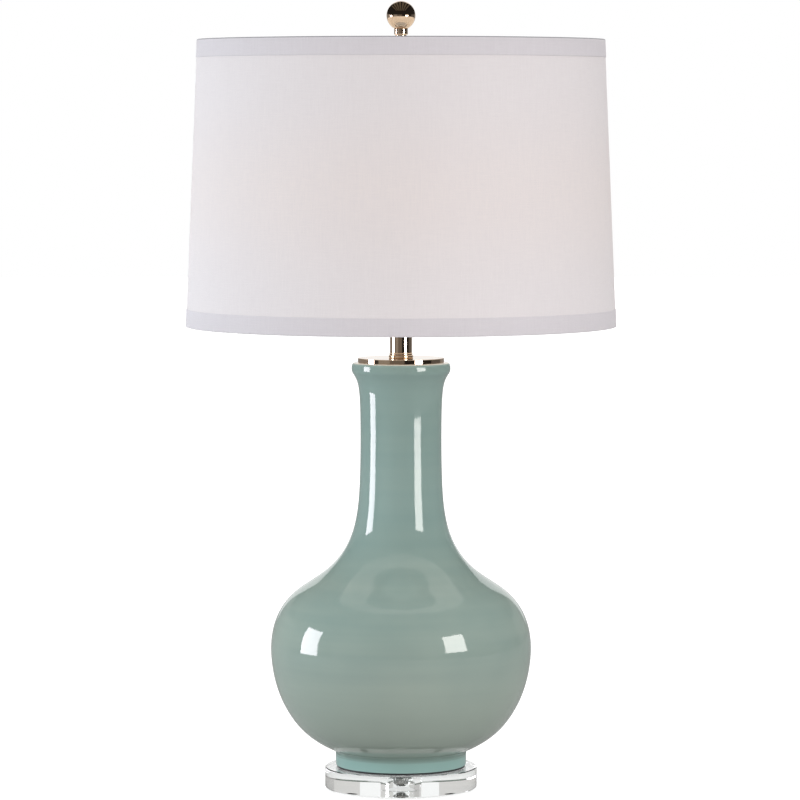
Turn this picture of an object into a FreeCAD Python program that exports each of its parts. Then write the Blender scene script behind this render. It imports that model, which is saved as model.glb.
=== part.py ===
import FreeCAD, Part
import Sketcher
import math
import os
import re

# Table lamp: a glazed bottle-shaped vase on a clear disc, with a drum shade on a harp.
#
# Millimetres, +Z up. The origin is on the surface that the lamp stands on, under the
# middle of the base. The front is -Y, and the cord inlet is at the back, +Y.
# Every piece sits on the piece below it, so its place is a sum of the sizes under it.

VECTOR = FreeCAD.Vector
SIZES = {
    # clear base disc, its feet and its hardware well
    "bumper_radius": 6, "bumper_height": 1.5, "bumper_circle": 68,
    "base_radius": 81, "base_thickness": 22, "base_bevel": 0.8, "base_web": 8,
    "well_radius": 15,
    "gasket_thickness": 2, "gasket_setback": 1.2,
    # vase foot and wall
    "foot_radius": 69.7, "foot_wall": 9.7, "foot_height": 20, "foot_blend": 5,
    "foot_chamber": 12, "vase_floor": 6, "vase_wall": 6,
    "mouth_radius": 38, "lip_round": 4,
    # control points of the vase's outer curve, from the foot up to the lip: each has a radius
    # and a rise above the point before it (the first: above the foot's underside)
    "vase_root_radius": 52.8, "vase_root_rise": 9.3,
    "vase_under_radius": 92.5, "vase_under_rise": 12.3,
    "vase_flare_radius": 123.5, "vase_flare_rise": 32.8,
    "vase_belly_radius": 138.7, "vase_belly_rise": 46,
    "vase_haunch_radius": 140.3, "vase_haunch_rise": 46.5,
    "vase_shoulder_radius": 119, "vase_shoulder_rise": 38.8,
    "vase_nape_radius": 74.8, "vase_nape_rise": 20.8,
    "vase_throat_radius": 46.7, "vase_throat_rise": 42.1,
    "vase_neck_radius": 43.1, "vase_neck_rise": 62.1,
    "vase_upper_radius": 43, "vase_upper_rise": 60.7,
    "vase_collar_radius": 44.3, "vase_collar_rise": 39.3,
    "vase_swell_radius": 53, "vase_swell_rise": 8.8,
    "vase_lip_radius": 52.4, "vase_lip_rise": 6.2,
    "vase_crown_radius": 52.3, "vase_crown_rise": 4.4,
    # cord inlet through the back of the foot
    "inlet_height": 6.5, "inlet_hole_radius": 4.5, "inlet_fit": 0.05,
    "inlet_bore_radius": 3.2, "inlet_flange_radius": 5.5, "inlet_flange": 1.5,
    "inlet_overhang": 1,
    # threaded lamp pipe and the nut and washers under the base
    "pipe_radius": 5.15, "pipe_bore_radius": 3.4, "pipe_clearance": 0.35,
    "pipe_tail": 2, "pipe_engagement": 7, "pipe_port_radius": 2.8,
    "washer_radius": 12.5, "washer_thickness": 1.5,
    "lock_washer_radius": 8.5, "lock_washer_thickness": 1.6, "lock_washer_split": 14,
    "nut_corner_radius": 8.2, "nut_thickness": 5, "thread_fit": 0.05,
    # metal cap, neck ring and neck tube on top of the vase
    "cap_radius": 45.9, "cap_thickness": 4.9, "cap_bevel": 0.4,
    "spigot_depth": 6, "spigot_clearance": 0.5,
    "ring_radius": 13, "ring_low_bead": 3.2, "ring_high_bead": 2.1, "ring_step": 0.7,
    "bead_round": 0.95,
    "tube_radius": 11.8, "tube_wall": 1, "tube_length": 51,
    # harp: saddle, wire bow, sleeves and stud
    "saddle_thickness": 1.6, "saddle_width": 12.7, "saddle_bend": 3,
    "arm_height": 16, "arm_reach": 29,
    "post_width": 3.4, "post_height": 7,
    "wire_radius": 2, "bow_width": 56, "bow_height": 242, "bow_foot": 38,
    "bow_shoulder": 95, "bow_foot_round": 60, "bow_shoulder_round": 120,
    "bow_top_round": 48, "bow_fit": 0.03,
    "sleeve_length": 14, "sleeve_wall": 1.4, "sleeve_fit": 0.08,
    "collar_radius": 6.5, "collar_half": 3.5, "stud_radius": 3.15, "stud_length": 14,
    # socket: cap, shell, liner and interior
    "hub_radius": 9, "hub_height": 8, "socket_radius": 17.2, "socket_wall": 1,
    "socket_cone": 4.5, "socket_cap_height": 22, "snap_fit": 0.05,
    "shell_wall": 0.6, "shell_length": 46, "shell_overlap": 6, "shell_bead": 0.9,
    "liner_wall": 0.8, "liner_fit": 0.1, "liner_setback": 3,
    "interior_radius": 13.2, "interior_foot": 8.6, "interior_room": 6.5,
    "interior_room_height": 7, "interior_cone": 6, "interior_height": 27,
    "thread_shell_wall": 0.5, "thread_shell_gap": 0.35, "thread_shell_height": 24,
    "thread_shell_hem": 2, "contact_radius": 3.4, "contact_thickness": 1.2,
    "contact_shank_radius": 1.5, "contact_shank": 6, "contact_fit": 0.05,
    "set_screw_radius": 1.6, "set_screw_head": 3, "set_screw_grip": 2.4,
    "terminal_height": 10, "terminal_head": 2.8, "terminal_shank": 1.5,
    "terminal_depth": 5, "terminal_well": 2.4, "terminal_room": 0.4,
    # turn switch
    "switch_height": 18, "shaft_radius": 1.8, "shaft_fit": 0.06, "shaft_depth": 9,
    "shaft_reach": 11, "knob_gap": 2.5, "knob_radius": 6, "knob_tip_radius": 5.4,
    "knob_length": 13,
    "knob_flute_radius": 0.9, "knob_flutes": 12, "switch_slot": 8, "knob_round": 1.2,
    # bulb
    "bulb_thread_radius": 13.2, "bulb_cap_wall": 0.5, "bulb_cap_height": 22,
    "bulb_tip_radius": 4.2, "bulb_tip": 1, "bulb_cone": 4, "bulb_cone_radius": 10.5,
    "bulb_neck_radius": 12.4, "bulb_radius": 33.5, "bulb_length": 130,
    "bulb_neck_top": 34, "bulb_crown": 56, "bulb_neck_round": 20,
    "bulb_belly_round": 60, "bulb_crown_round": 33, "glass_wall": 0.9,
    # shade: its upper edge is narrower than its lower edge by the taper
    "shade_bottom_radius": 228.6, "shade_taper": 12.7, "shade_height": 303.5,
    "shade_drop": 9.8, "trim_height": 19, "trim_thickness": 0.5,
    "fabric_thickness": 0.6, "liner_thickness": 0.8, "glue_line": 0.05,
    "frame_wire_radius": 2.2, "frame_edge_gap": 0.8, "frame_fit": 0.05,
    "spider_wire_radius": 2, "spider_bend": 14, "spider_rise_run": 25.8,
    "spider_hub_radius": 11, "spider_hub_thickness": 2.5, "spider_hub_fit": 0.3,
    # finial
    "finial_base_radius": 7.5, "finial_base": 3, "finial_stem_radius": 5.8,
    "finial_stem": 11.6, "finial_collar_radius": 7.3, "finial_collar": 6.8,
    "finial_ball_radius": 15.4, "finial_round": 0.8, "finial_thread_depth": 15,
    "finial_tenon_radius": 4, "finial_tenon": 6, "finial_tenon_fit": 0.03,
}

VASE_OUTLINE = ["root", "under", "flare", "belly", "haunch", "shoulder", "nape", "throat", "neck",
                "upper", "collar", "swell", "lip", "crown"]

# Seats: the height of the face that each stack of pieces stands on.
WEB = "(bumper_height + base_thickness - base_web)"
FOOT = "(bumper_height + base_thickness + gasket_thickness)"
LIP = "(" + " + ".join(f"vase_{point}_rise" for point in VASE_OUTLINE) + ")"
CAP_TOP = f"({FOOT} + {LIP} + cap_thickness)"
RING_TOP = f"({CAP_TOP} + ring_low_bead + ring_high_bead)"
TUBE_TOP = f"({RING_TOP} + tube_length)"
SOCKET = f"({TUBE_TOP} + saddle_thickness)"
INTERIOR = f"({SOCKET} + hub_height + socket_wall)"
INTERIOR_TOP = f"({INTERIOR} + interior_height)"
BULB = f"({INTERIOR_TOP} + contact_thickness)"
BOW = f"({TUBE_TOP} + arm_height + post_height)"
HUB_SEAT = f"({BOW} + bow_height + collar_half)"
FINIAL = f"({HUB_SEAT} + spider_hub_thickness)"
SHADE = f"({FINIAL} + shade_drop - shade_height)"
BALL = f"({FINIAL} + finial_base + finial_stem + finial_collar)"
PIPE_TAIL = f"({WEB} - washer_thickness - lock_washer_thickness - nut_thickness - pipe_tail)"

PIPE_HOLE = "(pipe_radius + pipe_clearance)"
VASE_FLOOR = "(foot_chamber + vase_floor)"
SHELL_RADIUS = "(socket_radius - socket_wall - snap_fit)"
LINER_RADIUS = f"({SHELL_RADIUS} - shell_wall - liner_fit)"
THREAD_SHELL_RADIUS = f"({LINER_RADIUS} - liner_wall - thread_shell_gap)"
FABRIC_SETBACK = "(trim_thickness + glue_line)"
LINER_SETBACK = "(trim_thickness + fabric_thickness + 2 * glue_line)"
FRAME_SETBACK = f"({LINER_SETBACK} + liner_thickness + frame_fit + frame_wire_radius)"
FRAME_EDGE = "(frame_edge_gap + frame_wire_radius)"

document = FreeCAD.newDocument("table_lamp")
sheet = document.addObject("Spreadsheet::Sheet", "Sizes")
for row, (alias, number) in enumerate(SIZES.items(), start=1):
    sheet.set(f"A{row}", str(number))
    sheet.setAlias(f"A{row}", alias)
document.recompute()


# ---------------------------------------------------------------- working with sizes

def linked(formula):
    """The formula with each size's name pointed at its cell in the sheet."""
    return re.sub(r"[a-z]+(?:_[a-z]+)*", lambda word: f"Sizes.{word[0]}" if word[0] in SIZES else word[0],
                  str(formula))


def value(formula):
    """The formula's number, worked out by the sheet."""
    result = sheet.evalExpression(linked(formula))
    return float(getattr(result, "Value", result))


def bind(target, **formulas):
    """Tie the target's properties to formulas of sizes. A double underscore stands for a dot."""
    for path, formula in formulas.items():
        target.setExpression(path.replace("__", "."), linked(formula))


def shade_radius(height, setback):
    """Radius of the shade's tapered wall at a height above its lower edge."""
    return f"(shade_bottom_radius - shade_taper * {height} / shade_height - {setback})"


# ---------------------------------------------------------------- bodies and sketches

def new_body(label, seat):
    """A body that stands on the height given by the seat's formula."""
    body = document.addObject("PartDesign::Body", label)
    body.Label = label
    body.AllowCompound = True
    bind(body, Placement__Base__z=seat)
    return body


def new_sketch(body, name, role="XZ_Plane"):
    """A sketch on one of the body's origin planes. On XZ_Plane its axes are X and Z."""
    sketch = body.newObject("Sketcher::SketchObject", name)
    plane = [item for item in body.Origin.OriginFeatures if item.Role == role][0]
    sketch.AttachmentSupport = [(plane, "")]
    sketch.MapMode = "FlatFace"
    return sketch


def hold(sketch, constraint, formula):
    """Add a dimension to a sketch and tie it to a formula."""
    index = sketch.addConstraint(constraint)
    sketch.setExpression(f"Constraints[{index}]", linked(formula))


def hold_point(sketch, geometry, end, across, up):
    """Hold a point of a sketch at a place given by two formulas."""
    hold(sketch, Sketcher.Constraint("DistanceX", -1, 1, geometry, end, value(across)), across)
    hold(sketch, Sketcher.Constraint("DistanceY", -1, 1, geometry, end, value(up)), up)


def rounding(before, corner, after, radius):
    """Where an arc of this radius leaves and meets the two sides of a corner, and the arc itself."""
    back = (before - corner).normalize()
    onward = (after - corner).normalize()
    half = back.getAngle(onward) / 2
    reach = radius / math.tan(half)
    start, finish = corner + back * reach, corner + onward * reach
    centre = corner + (back + onward).normalize() * (radius / math.sin(half))
    turns_left = (start - centre).cross(finish - centre).z > 0
    first, last = (start, finish) if turns_left else (finish, start)
    angles = [math.atan2(end.y - centre.y, end.x - centre.x) for end in (first, last)]
    circle = Part.Circle(centre, VECTOR(0, 0, 1), radius)
    return start, finish, Part.ArcOfCircle(circle, *angles), turns_left


def draw_outline(sketch, corners, closed=True):
    """Straight sides between corners (across, up), with an arc where a corner has a third formula."""
    points = [VECTOR(value(corner[0]), value(corner[1]), 0) for corner in corners]
    count = len(points)
    arrive, leave, arcs = list(points), list(points), [None] * count
    for index, corner in enumerate(corners):
        if len(corner) > 2:
            after = points[(index + 1) % count]
            arrive[index], leave[index], *arcs[index] = rounding(
                points[index - 1], points[index], after, value(corner[2]))
    sides = [sketch.addGeometry(Part.LineSegment(leave[index], arrive[(index + 1) % count]))
             for index in range(count if closed else count - 1)]
    for index, corner in enumerate(corners):
        before = sides[index - 1] if closed or index > 0 else None
        after = sides[index] if closed or index < count - 1 else None
        if arcs[index]:
            curve, turns_left = arcs[index]
            arc = sketch.addGeometry(curve)
            first, last = (1, 2) if turns_left else (2, 1)
            sketch.addConstraint(Sketcher.Constraint("Tangent", before, 2, arc, first))
            sketch.addConstraint(Sketcher.Constraint("Tangent", arc, last, after, 1))
            hold(sketch, Sketcher.Constraint("Radius", arc, value(corner[2])), corner[2])
            mark = sketch.addGeometry(Part.Point(points[index]), True)
            sketch.addConstraint(Sketcher.Constraint("PointOnObject", mark, 1, before))
            sketch.addConstraint(Sketcher.Constraint("PointOnObject", mark, 1, after))
            hold_point(sketch, mark, 1, corner[0], corner[1])
        else:
            if before is not None and after is not None:
                sketch.addConstraint(Sketcher.Constraint("Coincident", before, 2, after, 1))
            geometry, end = (after, 1) if after is not None else (before, 2)
            hold_point(sketch, geometry, end, corner[0], corner[1])


def draw_circle(sketch, across, up, radius):
    """A circle held by its centre and radius."""
    circle = Part.Circle(VECTOR(value(across), value(up), 0), VECTOR(0, 0, 1), value(radius))
    index = sketch.addGeometry(circle)
    hold_point(sketch, index, 3, across, up)
    hold(sketch, Sketcher.Constraint("Radius", index, value(radius)), radius)


def draw_curve(sketch, poles):
    """A clamped cubic curve with these control points (across, up). Returns its geometry index."""
    points = [VECTOR(value(across), value(up), 0) for across, up in poles]
    spans = len(points) - 3
    curve = Part.BSplineCurve()
    curve.buildFromPolesMultsKnots(points, [4] + [1] * (spans - 1) + [4],
                                   [span / spans for span in range(spans + 1)], False, 3)
    index = sketch.addGeometry(curve)
    sketch.exposeInternalGeometry(index)
    for offset, (across, up) in enumerate(poles, start=1):
        hold_point(sketch, index + offset, 3, across, up)
    return index


def draw_chain(sketch, curve, corners):
    """Straight sides from a curve's end through these corners and back to its start."""
    points = [VECTOR(value(corner[0]), value(corner[1]), 0) for corner in corners]
    path = [sketch.Geometry[curve].EndPoint, *points, sketch.Geometry[curve].StartPoint]
    sides = [sketch.addGeometry(Part.LineSegment(*ends)) for ends in zip(path, path[1:])]
    sketch.addConstraint(Sketcher.Constraint("Coincident", curve, 2, sides[0], 1))
    for side, following, corner in zip(sides, sides[1:], corners):
        sketch.addConstraint(Sketcher.Constraint("Coincident", side, 2, following, 1))
        hold_point(sketch, following, 1, corner[0], corner[1])
    sketch.addConstraint(Sketcher.Constraint("Coincident", sides[-1], 2, curve, 1))


# ---------------------------------------------------------------- features

def revolve(body, sketch, name, kind="Revolution", angle=360):
    """Turn a sketch on XZ_Plane about the body's Z axis, to add or (Groove) to remove material."""
    feature = body.newObject(f"PartDesign::{kind}", name)
    feature.Profile = sketch
    feature.ReferenceAxis = (sketch, ["V_Axis"])
    feature.Angle = angle
    sketch.Visibility = False
    document.recompute()
    return feature


def turned(label, seat, corners):
    """A piece of revolution, from half of its section (radius, height)."""
    body = new_body(label, seat)
    sketch = new_sketch(body, f"{label}_section")
    draw_outline(sketch, corners)
    revolve(body, sketch, f"{label}_turned")
    return body


def ring(label, seat, inner, outer, height):
    """A plain ring or washer."""
    return turned(label, seat, [(inner, 0), (outer, 0), (outer, height), (inner, height)])


TOWARDS = {
    "+Z": FreeCAD.Rotation(),
    "+Y": FreeCAD.Rotation(VECTOR(1, 0, 0), -90),
    "-Y": FreeCAD.Rotation(VECTOR(1, 0, 0), 90),
    "+X": FreeCAD.Rotation(VECTOR(0, 1, 0), 90),
    "-X": FreeCAD.Rotation(VECTOR(0, 1, 0), -90),
}


def primitive(body, kind, name, towards="+Z", across=0, along=0, up=0, **sizes):
    """Add or cut a primitive that starts at (across, along, up) and runs towards an axis."""
    feature = body.newObject(f"PartDesign::{kind}", name)
    feature.Placement = FreeCAD.Placement(VECTOR(), TOWARDS[towards])
    bind(feature, Placement__Base__x=across, Placement__Base__y=along, Placement__Base__z=up, **sizes)
    before = body.Shape
    document.recompute()
    if not before.isNull() and len(body.Shape.Edges) == len(before.Edges) and (
            abs(body.Shape.Area - before.Area) < 1e-6):
        raise ValueError(f"{body.Label}: {name} changed nothing")
    return feature


def sweep(body, name, section, path):
    """Carry a section along a path."""
    feature = body.newObject("PartDesign::AdditivePipe", name)
    feature.Profile = section
    feature.Spine = (path, [f"Edge{number + 1}" for number in range(len(path.Shape.Edges))])
    document.recompute()
    return feature


def mirrored(body, name, features, role="YZ_Plane"):
    """Repeat features on the other side of one of the body's origin planes."""
    plane = [item for item in body.Origin.OriginFeatures if item.Role == role][0]
    feature = body.newObject("PartDesign::Mirrored", name)
    feature.Originals = features
    feature.MirrorPlane = (plane, [""])
    body.Tip = feature
    document.recompute()


def around(body, name, features, count):
    """Repeat features in a circle about the body's Z axis."""
    axis = [item for item in body.Origin.OriginFeatures if item.Role == "Z_Axis"][0]
    feature = body.newObject("PartDesign::PolarPattern", name)
    feature.Originals = features
    feature.Axis = (axis, [""])
    feature.Angle = 360
    bind(feature, Occurrences=count)
    body.Tip = feature
    document.recompute()


def circle_edges(shape, radius, height):
    """Names of the closed level edges of a shape at this radius, at or above this height."""
    return [f"Edge{number}" for number, edge in enumerate(shape.Edges, start=1)
            if edge.Closed and edge.BoundBox.ZMin >= height and edge.BoundBox.ZLength < 0.01
            and abs(math.hypot(edge.Vertexes[0].X, edge.Vertexes[0].Y) - radius) < 0.001]


def round_edges(body, name, edges, radius):
    """Fillet edges of the body's last feature."""
    base = body.Tip
    feature = body.newObject("PartDesign::Fillet", name)
    feature.Base = (base, edges)
    bind(feature, Radius=radius)
    document.recompute()


# ---------------------------------------------------------------- base

def build_base_disc():
    """Thick clear disc with a bevelled rim, a pipe hole and a well for the nut underneath."""
    top = "base_thickness"
    return turned("base_disc", "bumper_height", [
        ("well_radius", 0), ("base_radius - base_bevel", 0), ("base_radius", "base_bevel"),
        ("base_radius", f"{top} - base_bevel"), ("base_radius - base_bevel", top),
        (PIPE_HOLE, top), (PIPE_HOLE, f"{top} - base_web"), ("well_radius", f"{top} - base_web")])


def build_base_bumpers():
    """Four clear feet under the rim of the disc."""
    body = new_body("base_bumpers", 0)
    foot = primitive(body, "AdditiveCylinder", "bumper", across="bumper_circle * cos(45)",
                     along="bumper_circle * sin(45)", Radius="bumper_radius", Height="bumper_height")
    around(body, "bumpers", [foot], 4)
    return body


def build_foot_gasket():
    """Dark ring between the disc and the vase's foot, set back a little from the glaze."""
    return ring("foot_gasket", "bumper_height + base_thickness", "foot_radius - foot_wall",
                "foot_radius - gasket_setback", "gasket_thickness")


def build_base_washer():
    """Flat washer against the roof of the well."""
    return ring("base_washer", f"{WEB} - washer_thickness", PIPE_HOLE, "washer_radius",
                "washer_thickness")


def build_base_lock_washer():
    """Split spring washer under the flat washer."""
    body = new_body("base_lock_washer", f"{WEB} - washer_thickness - lock_washer_thickness")
    sketch = new_sketch(body, "lock_washer_section")
    thickness = "lock_washer_thickness"
    draw_outline(sketch, [(PIPE_HOLE, 0), ("lock_washer_radius", 0),
                          ("lock_washer_radius", thickness), (PIPE_HOLE, thickness)])
    spring = revolve(body, sketch, "lock_washer_turned")
    bind(spring, Angle="360 - lock_washer_split")
    document.recompute()
    return body


def build_base_nut():
    """Hexagon nut that pulls the disc up against the vase."""
    seat = f"{WEB} - washer_thickness - lock_washer_thickness - nut_thickness"
    body = new_body("base_nut", seat)
    primitive(body, "AdditivePrism", "hexagon", Circumradius="nut_corner_radius",
              Height="nut_thickness")
    primitive(body, "SubtractiveCylinder", "thread", Radius="pipe_radius + thread_fit",
              Height="nut_thickness")
    return body


def build_lamp_pipe():
    """Threaded pipe from the well up into the socket, with a port for the cord at the inlet."""
    length = f"({SOCKET} + pipe_engagement - {PIPE_TAIL})"
    body = ring("lamp_pipe", PIPE_TAIL, "pipe_bore_radius", "pipe_radius", length)
    primitive(body, "SubtractiveCylinder", "cord_port", "+Y", up=f"{FOOT} + inlet_height - {PIPE_TAIL}",
              Radius="pipe_port_radius", Height="2 * pipe_radius")
    return body


# ---------------------------------------------------------------- vase

def vase_points():
    """Control points of the vase's outer curve, as formulas (radius, height above the foot)."""
    heights = [f"vase_{point}_rise" for point in VASE_OUTLINE]
    return [(f"vase_{point}_radius", "(" + " + ".join(heights[:number + 1]) + ")")
            for number, point in enumerate(VASE_OUTLINE)]


def moved_inwards(points, number):
    """A control point moved one wall thickness in, square to the line between its neighbours."""
    (radius, height), (radius_before, height_before), (radius_after, height_after) = (
        points[number], points[number - 1], points[number + 1])
    outward, upward = f"({radius_after} - {radius_before})", f"({height_after} - {height_before})"
    run = f"hypot({outward}; {upward})"
    return (f"({radius} - vase_wall * {upward} / {run})", f"({height} + vase_wall * {outward} / {run})")


def build_vase_body():
    """Glazed vase: a foot ring, a low round bowl, a long neck and a thick lip, hollow inside."""
    body = new_body("vase_body", FOOT)
    points = vase_points()
    foot = new_sketch(body, "foot_section")
    draw_outline(foot, [(0, 0), ("foot_radius", 0), ("foot_radius", "foot_height"), (0, "foot_height")])
    revolve(body, foot, "foot")
    outside = new_sketch(body, "outside_section")
    curve = draw_curve(outside, points + [("vase_crown_radius - lip_round", LIP)])
    draw_chain(outside, curve, [(0, LIP), (0, points[0][1])])
    revolve(body, outside, "outside")
    round_edges(body, "foot_blend",
                circle_edges(body.Shape, value("foot_radius"), value(f"{FOOT} + foot_height / 2")),
                "foot_blend")
    inside = new_sketch(body, "inside_section")
    neck_end = VASE_OUTLINE.index("collar")
    inner = [(points[0][0], VASE_FLOOR)]
    inner += [moved_inwards(points, number) for number in range(1, neck_end)]
    inner += [("mouth_radius", points[neck_end][1])]
    curve = draw_curve(inside, inner)
    draw_chain(inside, curve, [("mouth_radius", LIP), (0, LIP), (0, VASE_FLOOR)])
    revolve(body, inside, "inside", "Groove")
    primitive(body, "SubtractiveCylinder", "foot_chamber", Radius="foot_radius - foot_wall",
              Height="foot_chamber")
    primitive(body, "SubtractiveCylinder", "pipe_hole", Radius=PIPE_HOLE, Height=VASE_FLOOR)
    primitive(body, "SubtractiveCylinder", "inlet_hole", "+Y", up="inlet_height",
              Radius="inlet_hole_radius", Height="foot_radius + foot_wall")
    return body


def build_cord_bushing():
    """Flanged bushing that lines the cord hole in the back of the foot."""
    body = new_body("cord_bushing", FOOT)
    inside = "foot_radius - foot_wall - inlet_overhang"
    barrel = "foot_wall + inlet_overhang"
    primitive(body, "AdditiveCylinder", "barrel", "+Y", along=inside, up="inlet_height",
              Radius="inlet_hole_radius - inlet_fit", Height=barrel)
    primitive(body, "AdditiveCylinder", "flange", "+Y", along="foot_radius", up="inlet_height",
              Radius="inlet_flange_radius", Height="inlet_flange")
    primitive(body, "SubtractiveCylinder", "bore", "+Y", along=inside, up="inlet_height",
              Radius="inlet_bore_radius", Height=f"{barrel} + inlet_flange")
    return body


# ---------------------------------------------------------------- neck

def build_vase_cap():
    """Polished metal lid on the lip, with a spigot that centres it in the mouth."""
    spigot, top = "mouth_radius - spigot_clearance", "cap_thickness"
    return turned("vase_cap", f"{FOOT} + {LIP}", [
        (PIPE_HOLE, "-spigot_depth"), (spigot, "-spigot_depth"), (spigot, 0), ("cap_radius", 0),
        ("cap_radius", f"{top} - cap_bevel"), ("cap_radius - cap_bevel", top), (PIPE_HOLE, top)])


def build_neck_ring():
    """Turned ring with a full low bead and a thin upper bead."""
    low, top = "ring_low_bead", "ring_low_bead + ring_high_bead"
    upper = "ring_radius - ring_step"
    waist = "ring_radius - 2 * ring_step"
    return turned("neck_ring", CAP_TOP, [
        (PIPE_HOLE, 0), ("ring_radius", 0, "bead_round"),
        ("ring_radius", f"{low} - ring_step / 2", "bead_round"), (waist, low),
        (upper, f"{low} + ring_step / 2"), (upper, top, "bead_round"), (PIPE_HOLE, top)])


def build_neck_tube():
    """Polished tube around the pipe, from the ring up to the harp's saddle."""
    return ring("neck_tube", RING_TOP, "tube_radius - tube_wall", "tube_radius", "tube_length")


# ---------------------------------------------------------------- harp

def build_harp_saddle():
    """Bent strip clamped under the socket, with an upright arm and a post for each leg."""
    body = new_body("harp_saddle", TUBE_TOP)
    strip = new_sketch(body, "saddle_section")
    outer, inner = "(arm_reach + saddle_thickness / 2)", "(arm_reach - saddle_thickness / 2)"
    bend, thickness = "saddle_bend", "saddle_thickness"
    draw_outline(strip, [
        (f"-{outer}", 0, f"{bend} + {thickness}"), (outer, 0, f"{bend} + {thickness}"),
        (outer, "arm_height"), (inner, "arm_height"), (inner, thickness, bend),
        (f"-{inner}", thickness, bend), (f"-{inner}", "arm_height"), (f"-{outer}", "arm_height")])
    pad = body.newObject("PartDesign::Pad", "strip")
    pad.Profile = strip
    pad.SideType = "Symmetric"
    bind(pad, Length="saddle_width")
    document.recompute()
    primitive(body, "SubtractiveCylinder", "pipe_hole", Radius=PIPE_HOLE, Height=thickness)
    post = primitive(body, "AdditiveBox", "post", across=inner, along="-post_width / 2",
                     up="arm_height", Length=thickness, Width="post_width", Height="post_height")
    mirrored(body, "other_post", [post])
    return body


def build_harp_bow():
    """Wire bow from the left post over the bulb to the right post."""
    body = new_body("harp_bow", BOW)
    path = new_sketch(body, "half_path")
    draw_outline(path, [
        ("arm_reach", 0), ("arm_reach", "bow_foot", "bow_foot_round"),
        ("bow_width", "bow_shoulder", "bow_shoulder_round"),
        ("bow_width", "bow_height", "bow_top_round"), (0, "bow_height")], closed=False)
    section = new_sketch(body, "wire_section", "XY_Plane")
    draw_circle(section, "arm_reach", 0, "wire_radius")
    document.recompute()
    half = sweep(body, "half_bow", section, path)
    mirrored(body, "other_half", [half])
    return body


def build_harp_sleeve(label, side):
    """Locking sleeve over the joint between a post and the wire. side is 1 on the right, -1 left."""
    bore = "wire_radius + sleeve_fit"
    body = ring(label, f"{TUBE_TOP} + arm_height", bore, f"{bore} + sleeve_wall", "sleeve_length")
    bind(body, Placement__Base__x=f"{side} * arm_reach")
    document.recompute()
    return body


def build_harp_stud():
    """Collar clamped on the top of the bow, with the threaded stud that carries the shade."""
    body = turned("harp_stud", f"{BOW} + bow_height", [
        (0, "-collar_half"), ("collar_radius", "-collar_half"), ("collar_radius", "collar_half"),
        ("stud_radius", "collar_half"), ("stud_radius", "collar_half + stud_length"),
        (0, "collar_half + stud_length")])
    primitive(body, "SubtractiveCylinder", "wire_hole", "+X", across="-2 * collar_radius",
              Radius="wire_radius + bow_fit", Height="4 * collar_radius")
    return body


# ---------------------------------------------------------------- socket

def build_socket_cap():
    """Metal cup screwed onto the pipe; its rim takes the shell."""
    wide, inner, rim = "socket_radius", "(socket_radius - socket_wall)", "socket_cap_height"
    bore, floor = "(pipe_radius + thread_fit)", "(hub_height + socket_wall)"
    body = turned("socket_cap", SOCKET, [
        (bore, 0), ("hub_radius", 0), ("hub_radius", "hub_height"),
        (wide, "hub_height + socket_cone"), (wide, rim), (inner, rim),
        (inner, f"{floor} + socket_cone"), ("hub_radius", floor), (bore, floor)])
    primitive(body, "SubtractiveCylinder", "set_screw_hole", "+Y", up="hub_height / 2",
              Radius="set_screw_radius", Height="2 * hub_radius")
    return body


def build_socket_set_screw():
    """Small screw through the hub that stops the socket turning on the pipe."""
    body = new_body("socket_set_screw", SOCKET)
    primitive(body, "AdditiveCylinder", "shank", "+Y", along="pipe_radius", up="hub_height / 2",
              Radius="set_screw_radius - thread_fit", Height="hub_radius - pipe_radius")
    primitive(body, "AdditiveCylinder", "head", "+Y", along="hub_radius", up="hub_height / 2",
              Radius="set_screw_head", Height="set_screw_grip")
    return body


def build_socket_shell():
    """Thin metal sleeve with a rolled mouth, slotted at the front for the switch shaft."""
    inner, mouth = f"({SHELL_RADIUS} - shell_wall)", "shell_length"
    bead = f"({SHELL_RADIUS} + shell_bead)"
    body = turned("socket_shell", f"{SOCKET} + socket_cap_height - shell_overlap", [
        (inner, 0), (SHELL_RADIUS, 0), (SHELL_RADIUS, f"{mouth} - 2 * shell_bead"),
        (bead, f"{mouth} - 1.5 * shell_bead"), (bead, f"{mouth} - 0.5 * shell_bead"),
        (SHELL_RADIUS, mouth), (inner, mouth)])
    cut_switch_slot(body, f"{SOCKET} + socket_cap_height - shell_overlap")
    return body


def build_socket_liner():
    """Insulating paper sleeve inside the shell, with the same slot."""
    seat = f"{SOCKET} + socket_cap_height - shell_overlap"
    body = ring("socket_liner", seat, f"{LINER_RADIUS} - liner_wall", LINER_RADIUS,
                "shell_length - liner_setback")
    cut_switch_slot(body, seat)
    return body


def cut_switch_slot(body, seat):
    """Slot from the lower edge of a sleeve up past the switch shaft, on the front side."""
    primitive(body, "SubtractiveBox", "switch_slot", across="-switch_slot / 2", along="-socket_radius * 2",
              Length="switch_slot", Width="socket_radius * 2",
              Height=f"{INTERIOR} + switch_height + switch_slot / 2 - ({seat})")


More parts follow.
